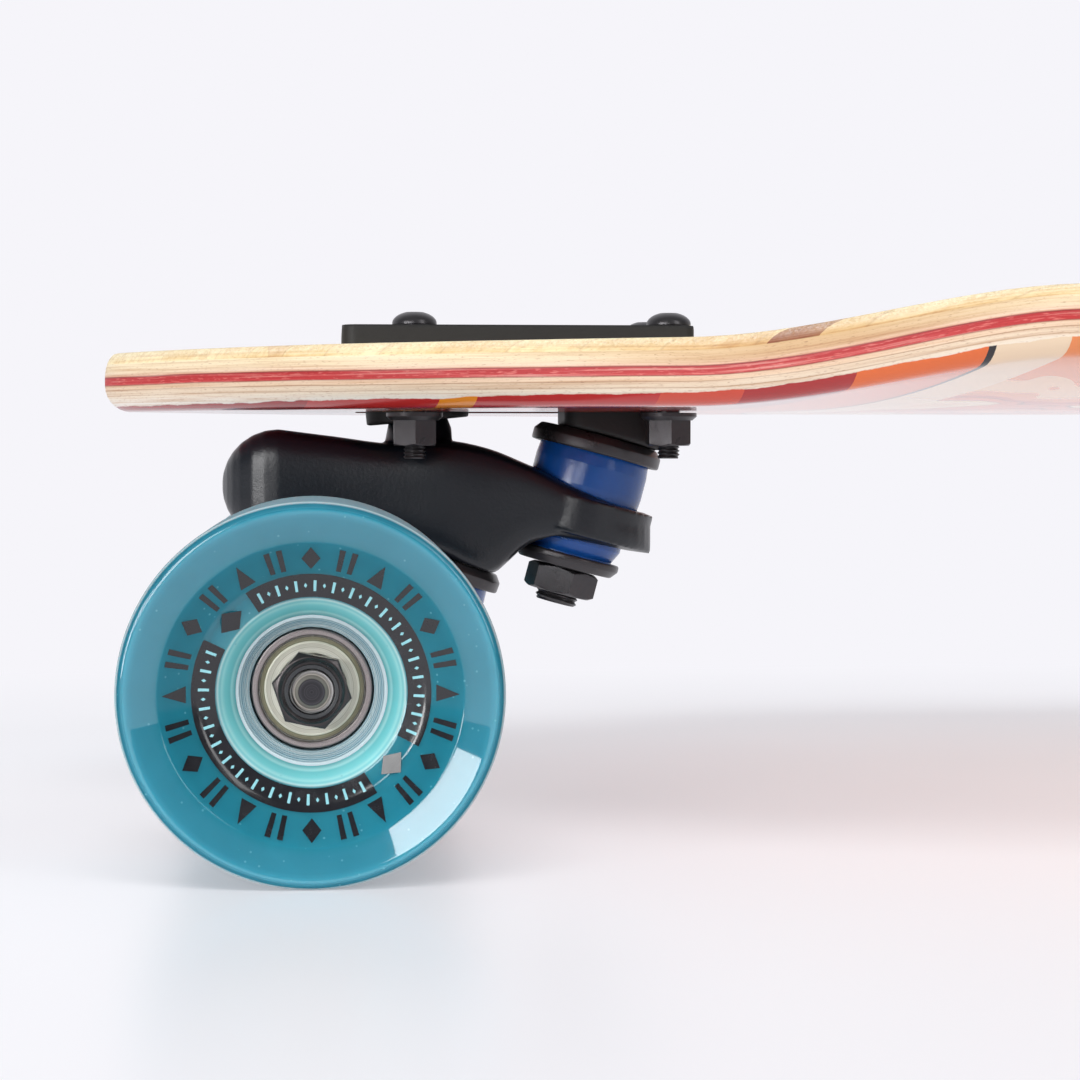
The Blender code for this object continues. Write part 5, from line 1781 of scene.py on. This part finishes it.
def contours_group():
    """The painted underside: flowing bands of flat colour in the middle, plain broad bands at the tips."""
    tree, given, out = new_group("contour_bands", {"Place": "Vector", "Wood": "Color"}, {"Color": "Color"})
    place = given["Place"]
    flat = maths("ADD", stretched(place, ART_STRETCH), ART_SHIFT, kind="VectorMath")
    bands = maths("FRACT", product(noise(flat, *ART_FORM), ART_BANDS))
    colours = ramp(bands, ART_COLOURS, interpolation="CONSTANT")
    bare = product(ranged(bands, *BARE_BAND_STARTS), maths("LESS_THAN", bands, BARE_BAND_END))
    colours = mixed(product(bare, BARE_SHARE), colours, given["Wood"])
    x, y, _ = split_up(place)
    bend = product(maths("ABSOLUTE", y), TIP_BEND)
    lapped = maths("DIVIDE", maths("ADD", from_tip(x), bend), TIP_PAINT)
    tip_colours = ramp(lapped, TIP_BANDS, TIP_PAINT / MM, "CONSTANT")
    fill(out["Color"], mixed(maths("LESS_THAN", lapped, 1.0), colours, tip_colours))
    return tree


def grit_group():
    """Coarse clear grit: glassy grains a little under a millimetre across, whose Glint gives each grain a
    random value for its painted glint.
    """
    tree, given, out = new_group(
        "clear_grit",
        {"Place": "Vector", "Depth": "Float"},
        {"Height": "Float", "Cover": "Float", "Glint": "Float"},
    )
    place = given["Place"]
    bumps = ranged(cells(place, GRAINS_PER_METRE)["Distance"], *GRAIN_CONTRAST)
    clumps = ranged(noise(place, *CLUMPS), *CLUMP_CONTRAST)
    cover = ranged(given["Depth"], *GRIT_EDGE)
    fill(out["Height"], product(product(bumps, clumps), cover))
    fill(out["Cover"], cover)
    pick = node(tree, "SeparateColor", {0: cells(place, GLINTS_PER_METRE)["Color"]}).outputs[0]
    fill(out["Glint"], product(pick, cover))
    return tree


MOTTLE = mottle_group()
TURNED_LINES = turned_lines_group()
TOP_STRIPS = strips_group()
PLIES = plies_group()
CONTOURS = contours_group()
GRIT = grit_group()


def new_finish(name, settings):
    """A material, its Principled shader's sockets and the piece's own coordinates."""
    made = bpy.data.materials.new(name)
    made.use_nodes = True
    sockets = made.node_tree.nodes["Principled BSDF"].inputs
    for socket, value in settings.items():
        sockets[socket].default_value = value
    return made, sockets, node(made.node_tree, "TexCoord").outputs["Object"]


def relief(sockets, height, distance):
    bump = node(height.id_data, "Bump", {"Height": height, "Distance": distance, "Strength": 1.0})
    fill(sockets["Normal"], bump.outputs[0])


def plain_finish(name, colour, shade, rough, patch_scale, grain_scale, depth, settings):
    """A finish whose colour, gloss and relief vary softly: two colours and a range of roughness."""
    made, sockets, place = new_finish(name, settings)
    marks = used(MOTTLE, {"Place": place, "Patch scale": patch_scale, "Grain scale": grain_scale})
    fill(sockets["Base Color"], mixed(marks["Patches"], (*colour, 1), (*shade, 1)))
    fill(sockets["Roughness"], ranged(marks["Patches"], *NOISE_SPAN, *rough))
    relief(sockets, marks["Grain"], depth * MM)
    return made


def zoned_finish(name, zones, contrast, rough, lines, depth, settings, lying=False):
    """A finish with a lathe's rings, whose colour changes with the distance from the axis, given in mm."""
    made, sockets, place = new_finish(name, settings)
    if lying:
        x, y, z = split_up(place)
        place = joined(x, maths("ADD", z, TRUCK_HEIGHT), y)
    marks = used(TURNED_LINES, {"Place": place, "Lines per metre": lines})["Lines"]
    whole = max(zones)
    colour = ramp(maths("DIVIDE", from_axis(place), whole * MM), zones, whole)
    fill(sockets["Base Color"], mixed(ranged(marks, *ZONE_CONTRAST), colour, tinted(colour, contrast)))
    fill(sockets["Roughness"], ranged(marks, *NOISE_SPAN, *rough))
    relief(sockets, marks, depth * MM)
    return made


def laminated_maple():
    made, sockets, place = new_finish("laminated_maple", {"Coat Roughness": 0.04})
    depth = node(made.node_tree, "Attribute", attribute_name="ply_depth").outputs["Fac"]
    strips = used(TOP_STRIPS, {"Place": place})
    bare = mixed(ranged(strips["Fibres"], *WOOD_CONTRAST), *[paint(*tone) for tone in WOOD_TONES])
    art = used(CONTOURS, {"Place": place, "Wood": bare})["Color"]
    plies = used(PLIES, {"Place": place, "Depth": depth, "Top ply": strips["Color"], "Paint": art})
    grit = used(GRIT, {"Place": place, "Depth": depth})
    painted = plies["Painted"]
    # Painted glints: each grain of grit takes a random tone up to near white.
    grains = mixed(grit["Glint"], *[paint(*tone) for tone in GRAIN_TONES_AND_PAINTED_GLINTS])
    fill(sockets["Base Color"], mixed(product(grit["Cover"], GRAIN_SHARE), plies["Color"], grains))
    bare_roughness = ranged(plies["Fibres"], *NOISE_SPAN, *WOOD_ROUGHNESS)
    lacquered = ranged(painted, 0, 1, bare_roughness, LACQUER_ROUGHNESS)
    fill(sockets["Roughness"], ranged(grit["Cover"], 0, 1, lacquered, GRIT_ROUGHNESS))
    fill(sockets["Coat Weight"], product(painted, ranged(depth, *LACQUER)))
    fibre_height = product(plies["Fibres"], ranged(painted, 0, 1, WOOD_FIBRE_HEIGHT, 0.0))
    relief(sockets, maths("ADD", grit["Height"], fibre_height), GRIT_RELIEF)
    return made


def teal_urethane():
    """Clear teal urethane, with fine bubbles inside, a stone-ground tread, and painted glow and shade in its
    colour.
    """
    settings = {
        "Transmission Weight": 0.25,
        "IOR": 1.5,
        "Specular IOR Level": 0.0,
        "Coat IOR": 1.7,
        "Subsurface Weight": 0.55,
        "Subsurface Radius": (0.35, 0.9, 1.0),
        "Subsurface Scale": 9 * MM,
        "Coat Roughness": 0.02,
    }
    made, sockets, place = new_finish("teal_urethane", settings)
    radius = from_axis(place)
    clouds = noise(place, *CLOUDS)
    # The tones by radius hold painted glow by the core and painted shade at the rim.
    tones_and_glow = ramp(maths("DIVIDE", radius, TREAD_RADIUS), TYRE_TONES_AND_PAINTED_GLOW, TREAD_RADIUS / MM)
    body = mixed(ranged(clouds, *NOISE_SPAN), tones_and_glow, tinted(tones_and_glow, CLOUD_TONE))
    bubbles = cells(place, BUBBLES_PER_METRE)["Distance"]
    body = mixed(ranged(bubbles, *BUBBLE_CONTRAST), body, paint(*BUBBLE_TONE))
    ground = ranged(radius, *TREAD_GROUND)
    fill(sockets["Base Color"], mixed(product(ground, TREAD_SHARE), body, paint(*TREAD_TONE)))
    crest = ranged(radius, *LIP_CREST)
    smooth = ranged(clouds, *NOISE_SPAN, *TYRE_ROUGHNESS)
    fill(sockets["Roughness"], ranged(crest, 0, 1, smooth, TREAD_ROUGHNESS))
    glossy = maths("MAXIMUM", ranged(radius, *LIP_GLOSS), ranged(radius, *BAND_GLOSS))
    fill(sockets["Coat Weight"], product(glossy, maths("SUBTRACT", 1.0, crest)))
    scuffs = product(noise(place, *TREAD_GRAIN), ranged(ground, 0, 1, SMOOTH_RELIEF, 1.0))
    relief(sockets, scuffs, TREAD_RELIEF)
    return made


def bearing_steel():
    made, sockets, place = new_finish("bearing_steel", {"Metallic": 0.9})
    marks = used(TURNED_LINES, {"Place": place, "Lines per metre": BEARING_LINES})["Lines"]
    fill(sockets["Base Color"], mixed(ranged(marks, *NOISE_SPAN), *[paint(*tone) for tone in BEARING_TONES]))
    fill(sockets["Roughness"], ranged(marks, *NOISE_SPAN, *BEARING_ROUGHNESS))
    relief(sockets, marks, BEARING_RELIEF)
    return made


# Each holds two colours, a range of roughness, patches and grains per metre, the relief in mm
# and other settings
PLAIN_FINISHES = {
    "black_casting": ((0.004, 0.006, 0.010), (0.007, 0.010, 0.016), (0.28, 0.36), 45.0, 1400.0, 0.04, {}),
    "plate_casting": ((0.010, 0.0095, 0.010), (0.017, 0.016, 0.016), (0.5, 0.62), 45.0, 1400.0, 0.04, {}),
    "black_steel": (
        (0.036, 0.034, 0.037), (0.080, 0.076, 0.080), (0.26, 0.42), 160.0, 1800.0, 0.02, {"Metallic": 0.6}
    ),
    "nut_steel": (
        (0.05, 0.045, 0.046), (0.09, 0.08, 0.082), (0.25, 0.4), 160.0, 1800.0, 0.02, {"Metallic": 0.85}
    ),
    "black_rubber": ((0.02, 0.02, 0.021), (0.035, 0.034, 0.034), (0.6, 0.8), 120.0, 2200.0, 0.03, {}),
    "black_nylon": ((0.02, 0.022, 0.025), (0.04, 0.042, 0.046), (0.35, 0.5), 300.0, 2600.0, 0.02, {}),
    "blue_urethane": (
        (0.005, 0.070, 0.31), (0.010, 0.092, 0.38), (0.2, 0.28), 70.0, 900.0, 0.02,
        {"Subsurface Weight": 0.15, "Subsurface Scale": 2 * MM},
    ),
    "black_ink": (
        (0.008, 0.008, 0.010), (0.016, 0.016, 0.020), (0.16, 0.3), 300.0, 2600.0, 0.01, {"Coat Weight": 0.3}
    ),
    "pale_ink": (
        paint(150, 205, 212)[:3], paint(124, 186, 196)[:3], (0.16, 0.3), 300.0, 2600.0, 0.01,
        {"Coat Weight": 0.5},
    ),
}
# Each holds its zones, the tone of its rings, a range of roughness, lines per metre, the relief in mm, other
# settings and, for the axle, that its Y axis is the one it is turned about
ZONED_FINISHES = {
    "clear_core": (
        CORE_ZONES_AND_PAINTED_HIGHLIGHTS, (150, 190, 206), (0.08, 0.2), 3600.0, 0.03, {"Transmission Weight": 0.3, "IOR": 1.5}
    ),
    "shield_steel": (SHIELD_ZONES_AND_PAINTED_LIGHT, (206, 204, 196), (0.36, 0.5), 4200.0, 0.012, {"Metallic": 0.35}),
    "axle_steel": (AXLE_ZONES, (170, 168, 168), (0.3, 0.45), 2600.0, 0.01, {"Metallic": 0.7}, True),
}
FINISHES = {
    "laminated_maple": laminated_maple(),
    "teal_urethane": teal_urethane(),
    "bearing_steel": bearing_steel(),
}
FINISHES |= {name: plain_finish(name, *form) for name, form in PLAIN_FINISHES.items()}
FINISHES |= {name: zoned_finish(name, *form) for name, form in ZONED_FINISHES.items()}


# Putting the pieces in place

def fit(name, mesh, matrix, body, finish, slot, *nodes, bends=()):
    """A piece on its body, or, for a soft piece whose bends holds its other body and where it starts and
    ends, a piece with its place baked in and on no body; of bends only whether it is given is used.
    """
    if not mesh.materials:
        mesh.materials.append(FINISHES[finish])
    made = new_object(name, mesh.copy() if bends else mesh)
    made.matrix_world = matrix
    if bends:
        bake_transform(made)
    else:
        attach(made, body)
    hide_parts(*nodes)


# The mesh and the finish of each part round a kingpin, and the depths where a bushing meets its washer
# and its ring
STACK = {
    "washer_board": (
        cup_washer_mesh(BOARD_WASHER_RADIUS, -BOARD_WASHER_TOP, -1, BOARD_CUP_DEPTH), "black_steel", ()
    ),
    "washer_road": (
        cup_washer_mesh(ROAD_WASHER_RADIUS, -ROAD_WASHER_TOP - WASHER_THICKNESS, 1, ROAD_CUP_DEPTH),
        "black_steel", (),
    ),
    "bushing_board": (
        board_bushing_mesh(), "blue_urethane", (BOARD_BUSHING_TOP, BOARD_BUSHING_TOP + BOARD_BUSHING_LENGTH)
    ),
    "bushing_road": (
        road_bushing_mesh(), "blue_urethane", (ROAD_BUSHING_TOP + ROAD_BUSHING_LENGTH, ROAD_BUSHING_TOP)
    ),
}
MESHES = {
    "baseplate": baseplate_mesh(),
    "knuckle": knuckle_mesh(),
    "hanger": hanger_mesh(),
    "axle": axle_mesh(),
    "pivot_cup": pivot_cup_mesh(),
    "bolt": bolt_mesh(),
    "upper_kingpin": kingpin_mesh(UPPER_GRIP),
    "lower_kingpin": kingpin_mesh(LOWER_GRIP),
    "tyre": turned(TYRE_PROFILE, WHEEL_STEPS),
    "wheel_core": core_mesh(),
    "bearing": bearing_mesh(),
    "shield": shield_mesh(),
    "axle_nut": axle_nut_mesh(),
    "nylon": nylon_mesh(),
    "black_print": black_print(),
    "pale_print": pale_print(),
}


def fit_stack(end, level, axis, body, ring_body):
    """One pivot's kingpin, washers and bushings: the kingpin and washers go on the washers' body, and the
    bushings, given the ring's body and their ends, go on no body.
    """
    name = f"{end}_{level}_kingpin"
    fit(f"fine_{name}", MESHES[f"{level}_kingpin"], axis, body, "black_steel", "black_steel", name)
    for part, (mesh, finish, depths) in STACK.items():
        name = f"{end}_{level}_{part}"
        bends = (ring_body, *[axis @ Vector((0, 0, -depth)) for depth in depths]) if depths else ()
        fit(f"fine_{name}", mesh, axis, body, finish, finish, name, bends=bends)


def fit_wheel(end, side, truck, body, hanger_body):
    sign = -ENDS[end] * SIDES[side]
    turn = Matrix(((0, -sign, 0), (0, 0, sign), (-1, 0, 0))).to_4x4()
    hub = truck @ at(AXLE + Vector((0, sign * WHEEL_MIDDLE, 0)), turn)
    seat = truck @ at(AXLE + Vector((0, sign * AXLE_NUT_START, 0)), turn)
    name = f"{end}_{side}"
    tyre, core, nut = f"{name}_tyre", f"{name}_wheel_core", f"{name}_axle_nut"
    fit(f"fine_{tyre}", MESHES["tyre"], hub, body, "teal_urethane", "teal_urethane", tyre)
    fit(f"fine_{core}", MESHES["wheel_core"], hub, body, "clear_core", "clear_core", core)
    for part, finish in (("black_print", "black_ink"), ("pale_print", "pale_ink")):
        fit(f"{name}_{part}", MESHES[part], hub, body, finish, "teal_urethane", tyre)
    for where, start, turned_by in (("inboard", RACE_START, pi), ("outboard", SPACER_END, 0)):
        bearing = f"{name}_{where}_bearing"
        middle = start + BEARING_WIDTH / 2 - WHEEL_MIDDLE
        race = hub @ at((0, 0, middle), Matrix.Rotation(turned_by, 4, "X"))
        fit(f"fine_{bearing}", MESHES["bearing"], race, body, "bearing_steel", "bearing_steel", bearing)
        fit(f"{bearing}_shield", MESHES["shield"], race, body, "shield_steel", "bearing_steel", bearing)
    fit(f"fine_{nut}", MESHES["axle_nut"], seat, hanger_body, "nut_steel", "black_steel", nut)
    fit(f"{nut}_nylon", MESHES["nylon"], seat, hanger_body, "black_nylon", "black_steel", nut)


def fit_truck(end, truck):
    board, knuckle, hanger = "board", f"{end}_knuckle", f"{end}_hanger"
    castings = (
        ("baseplate", board, "plate_casting"),
        ("knuckle", knuckle, "black_casting"),
        ("hanger", hanger, "black_casting"),
    )
    for part, body, finish in castings:
        name = f"{end}_{part}"
        fit(f"fine_{name}", MESHES[part], truck, body, finish, "black_casting", name)
    fit(f"{end}_axle", MESHES["axle"], truck, hanger, "axle_steel", "black_casting", f"{end}_hanger")
    cups = (
        ("baseplate", board, UPPER_PIVOT, UPPER_PIVOT_TILT),
        ("knuckle", knuckle, LOWER_PIVOT, LOWER_PIVOT_TILT),
    )
    for part, body, pivot, angle in cups:
        name = f"{end}_{part}_pivot_cup"
        seat = truck @ at(pivot, tilt(angle))
        fit(f"fine_{name}", MESHES["pivot_cup"], seat, body, "black_rubber", "black_rubber", name)
    fit_stack(end, "upper", truck @ at(UPPER_SEAT, tilt(UPPER_KINGPIN_TILT)), board, knuckle)
    fit_stack(end, "lower", truck @ at(LOWER_SEAT, tilt(LOWER_KINGPIN_TILT)), knuckle, hanger)
    for row, x in zip(("outer", "inner"), BOLT_X):
        for side, sign in SIDES.items():
            name = f"{end}_bolt_{row}_{side}"
            seat = truck @ at((x, -ENDS[end] * sign * BOLT_COLUMNS / 2, 0))
            fit(f"fine_{name}", MESHES["bolt"], seat, board, "black_steel", "black_steel", name)
    for side in SIDES:
        fit_wheel(end, side, truck, f"{end}_{side}_wheel", hanger)


fit("fine_deck", deck_mesh(), Matrix(), "board", "laminated_maple", "laminated_maple", "deck")
for end, truck in TRUCKS.items():
    fit_truck(end, truck)


# The studio

WHEEL_PLACE = Vector((-AXLE_X, -WHEEL_MIDDLE, WHEEL_DIAMETER / 2))
CAMERA_PLACE = Vector((-0.4580, -0.5596, 0.0792))
CAMERA_TURN = radians(4.6)
CAMERA_DIP = radians(2.18)
LENS = 84.9
SENSOR = 36
BACKGROUND = paint(246, 245, 250)
AMBIENT = (0.90, 0.95, 1.0, 1)
AMBIENT_LEVEL = 0.44
ROOM = (0.10, 0.105, 0.115, 1)
ROOM_ENDS = (-0.05, 0.6)
FLOOR_REACH = 30.0
FLOOR_GLOW = 0.33
FLOOR_UPLIGHT = 0.3
FLOOR_SHADE = (0.55, 0.545, 0.56, 1)
FLOOR_PATCH = (0.56, 0.552, 0.566, 1)
FLOOR_BOUNCE = (0.86, 0.86, 0.87, 1)
FLOOR_ROUGHNESS = (0.30, 0.36)
FLOOR_LIT_TO = 170 * MM
FLOOR_FADED_AT = 330 * MM

# Angles to the right and up, distance, angles filled across and up, radiance, whether reflections show it.
# Two stand before the board and one at its left; the last is high in front of it.
SOFTBOXES = {
    "left_softbox": (-23.5, 14.5, 1.6, (19, 18), 7.0, True),
    "right_softbox": (42, 24, 1.8, (16, 38), 4.0, True),
    "side_softbox": (-46, 9, 1.8, (14, 20), 14.0, True),
    "overhead": (-8, 58, 3.2, (38, 23), 5.2, False),
}


def seen_directly(rays):
    """1 for what the camera, a reflection or a view through glass sees, 0 for the light it gives."""
    seen = maths("MAXIMUM", rays["Is Camera Ray"], rays["Is Glossy Ray"])
    return maths("MAXIMUM", seen, rays["Is Transmission Ray"])


def either(share, first, second):
    """A mix of two shaders."""
    return node(share.id_data, "MixShader", {0: share, 1: first, 2: second}).outputs[0]


def glowing(strength):
    """A shader that gives off the background's colour."""
    return node(strength.id_data, "Emission", {"Color": BACKGROUND, "Strength": strength}).outputs[0]


def light_world():
    """White behind the board and a dim room behind the camera, which the gloss and the metal show."""
    world = bpy.data.worlds.new("studio")
    bpy.context.scene.world = world
    world.use_nodes = True
    tree = world.node_tree
    tree.nodes.clear()
    towards = split_up(node(tree, "TexCoord").outputs["Generated"])
    reflected = mixed(ranged(towards[1], *ROOM_ENDS), ROOM, BACKGROUND)
    rays = node(tree, "LightPath").outputs
    shown = mixed(rays["Is Glossy Ray"], BACKGROUND, reflected)
    light = node(tree, "Background", {"Color": AMBIENT, "Strength": AMBIENT_LEVEL}).outputs[0]
    sight = node(tree, "Background", {"Color": shown, "Strength": 1.0}).outputs[0]
    node(tree, "OutputWorld", {"Surface": either(seen_directly(rays), light, sight)})


def lay_floor():
    """A pale sweep under the board, which fades into the background far from it."""
    made, sockets, place = new_finish("pale_floor", {"Specular IOR Level": 0.35})
    tree = made.node_tree
    patches = used(MOTTLE, {"Place": place, "Patch scale": 3.0, "Grain scale": 300.0})["Patches"]
    rays = node(tree, "LightPath").outputs
    sight = seen_directly(rays)
    fill(sockets["Base Color"], mixed(sight, FLOOR_BOUNCE, mixed(patches, FLOOR_SHADE, FLOOR_PATCH)))
    fill(sockets["Roughness"], ranged(patches, *NOISE_SPAN, *FLOOR_ROUGHNESS))
    shader = tree.nodes["Principled BSDF"].outputs[0]
    glow = glowing(ranged(sight, 0, 1, FLOOR_UPLIGHT, FLOOR_GLOW))
    near = node(tree, "AddShader", {0: shader, 1: glow}).outputs[0]
    x, y, _ = split_up(place)
    beyond_tip = maths("MAXIMUM", maths("SUBTRACT", maths("ABSOLUTE", x), DECK_LENGTH / 2), 0.0)
    offset = joined(beyond_tip, y, 0.0)
    distance = node(tree, "VectorMath", {0: offset}, operation="LENGTH").outputs["Value"]
    faded = maths("MAXIMUM", ranged(distance, FLOOR_LIT_TO, FLOOR_FADED_AT), rays["Is Glossy Ray"])
    from_below = product(node(tree, "NewGeometry").outputs["Backfacing"], rays["Is Camera Ray"])
    clear = node(tree, "BsdfTransparent").outputs[0]
    shown = either(from_below, either(faded, near, glowing(sight)), clear)
    fill(tree.nodes["Material Output"].inputs["Surface"], shown)
    corners = [(FLOOR_REACH * x, FLOOR_REACH * y, 0) for x, y in ((-1, -1), (1, -1), (1, 1), (-1, 1))]
    floor = new_object("floor", finished(corners, [(0, 1, 2, 3)]))
    floor.data.materials.append(made)


def direction(turn, rise):
    """The way from the board to what stands before it, at these angles to the right and up."""
    return Vector((sin(turn) * cos(rise), -cos(turn) * cos(rise), sin(rise)))


def aimed(name, data, place, back):
    """A camera or a lamp at a place, with its back turned this way."""
    made = new_object(name, data)
    made.location = place
    made.rotation_euler = (-back).to_track_quat("-Z", "Y").to_euler()
    return made


def softbox(name, turn, rise, distance, spread, radiance, mirrored):
    """A soft light that faces the photographed wheel, placed by the angles that it fills from there."""
    data = bpy.data.lights.new(name, "AREA")
    data.shape = "RECTANGLE"
    data.size, data.size_y = [2 * distance * tan(radians(angle) / 2) for angle in spread]
    data.energy = radiance * pi * data.size * data.size_y
    back = direction(radians(turn), radians(rise))
    lamp = aimed(name, data, WHEEL_PLACE + back * distance, back)
    lamp.visible_glossy = mirrored


def set_camera():
    data = bpy.data.cameras.new("camera")
    data.lens = LENS
    data.sensor_width = SENSOR
    bpy.context.scene.camera = aimed("camera", data, CAMERA_PLACE, direction(-CAMERA_TURN, CAMERA_DIP))


light_world()
lay_floor()
for name, form in SOFTBOXES.items():
    softbox(name, *form)
set_camera()
bpy.context.scene.view_settings.view_transform = "Standard"

bpy.context.view_layer.update()
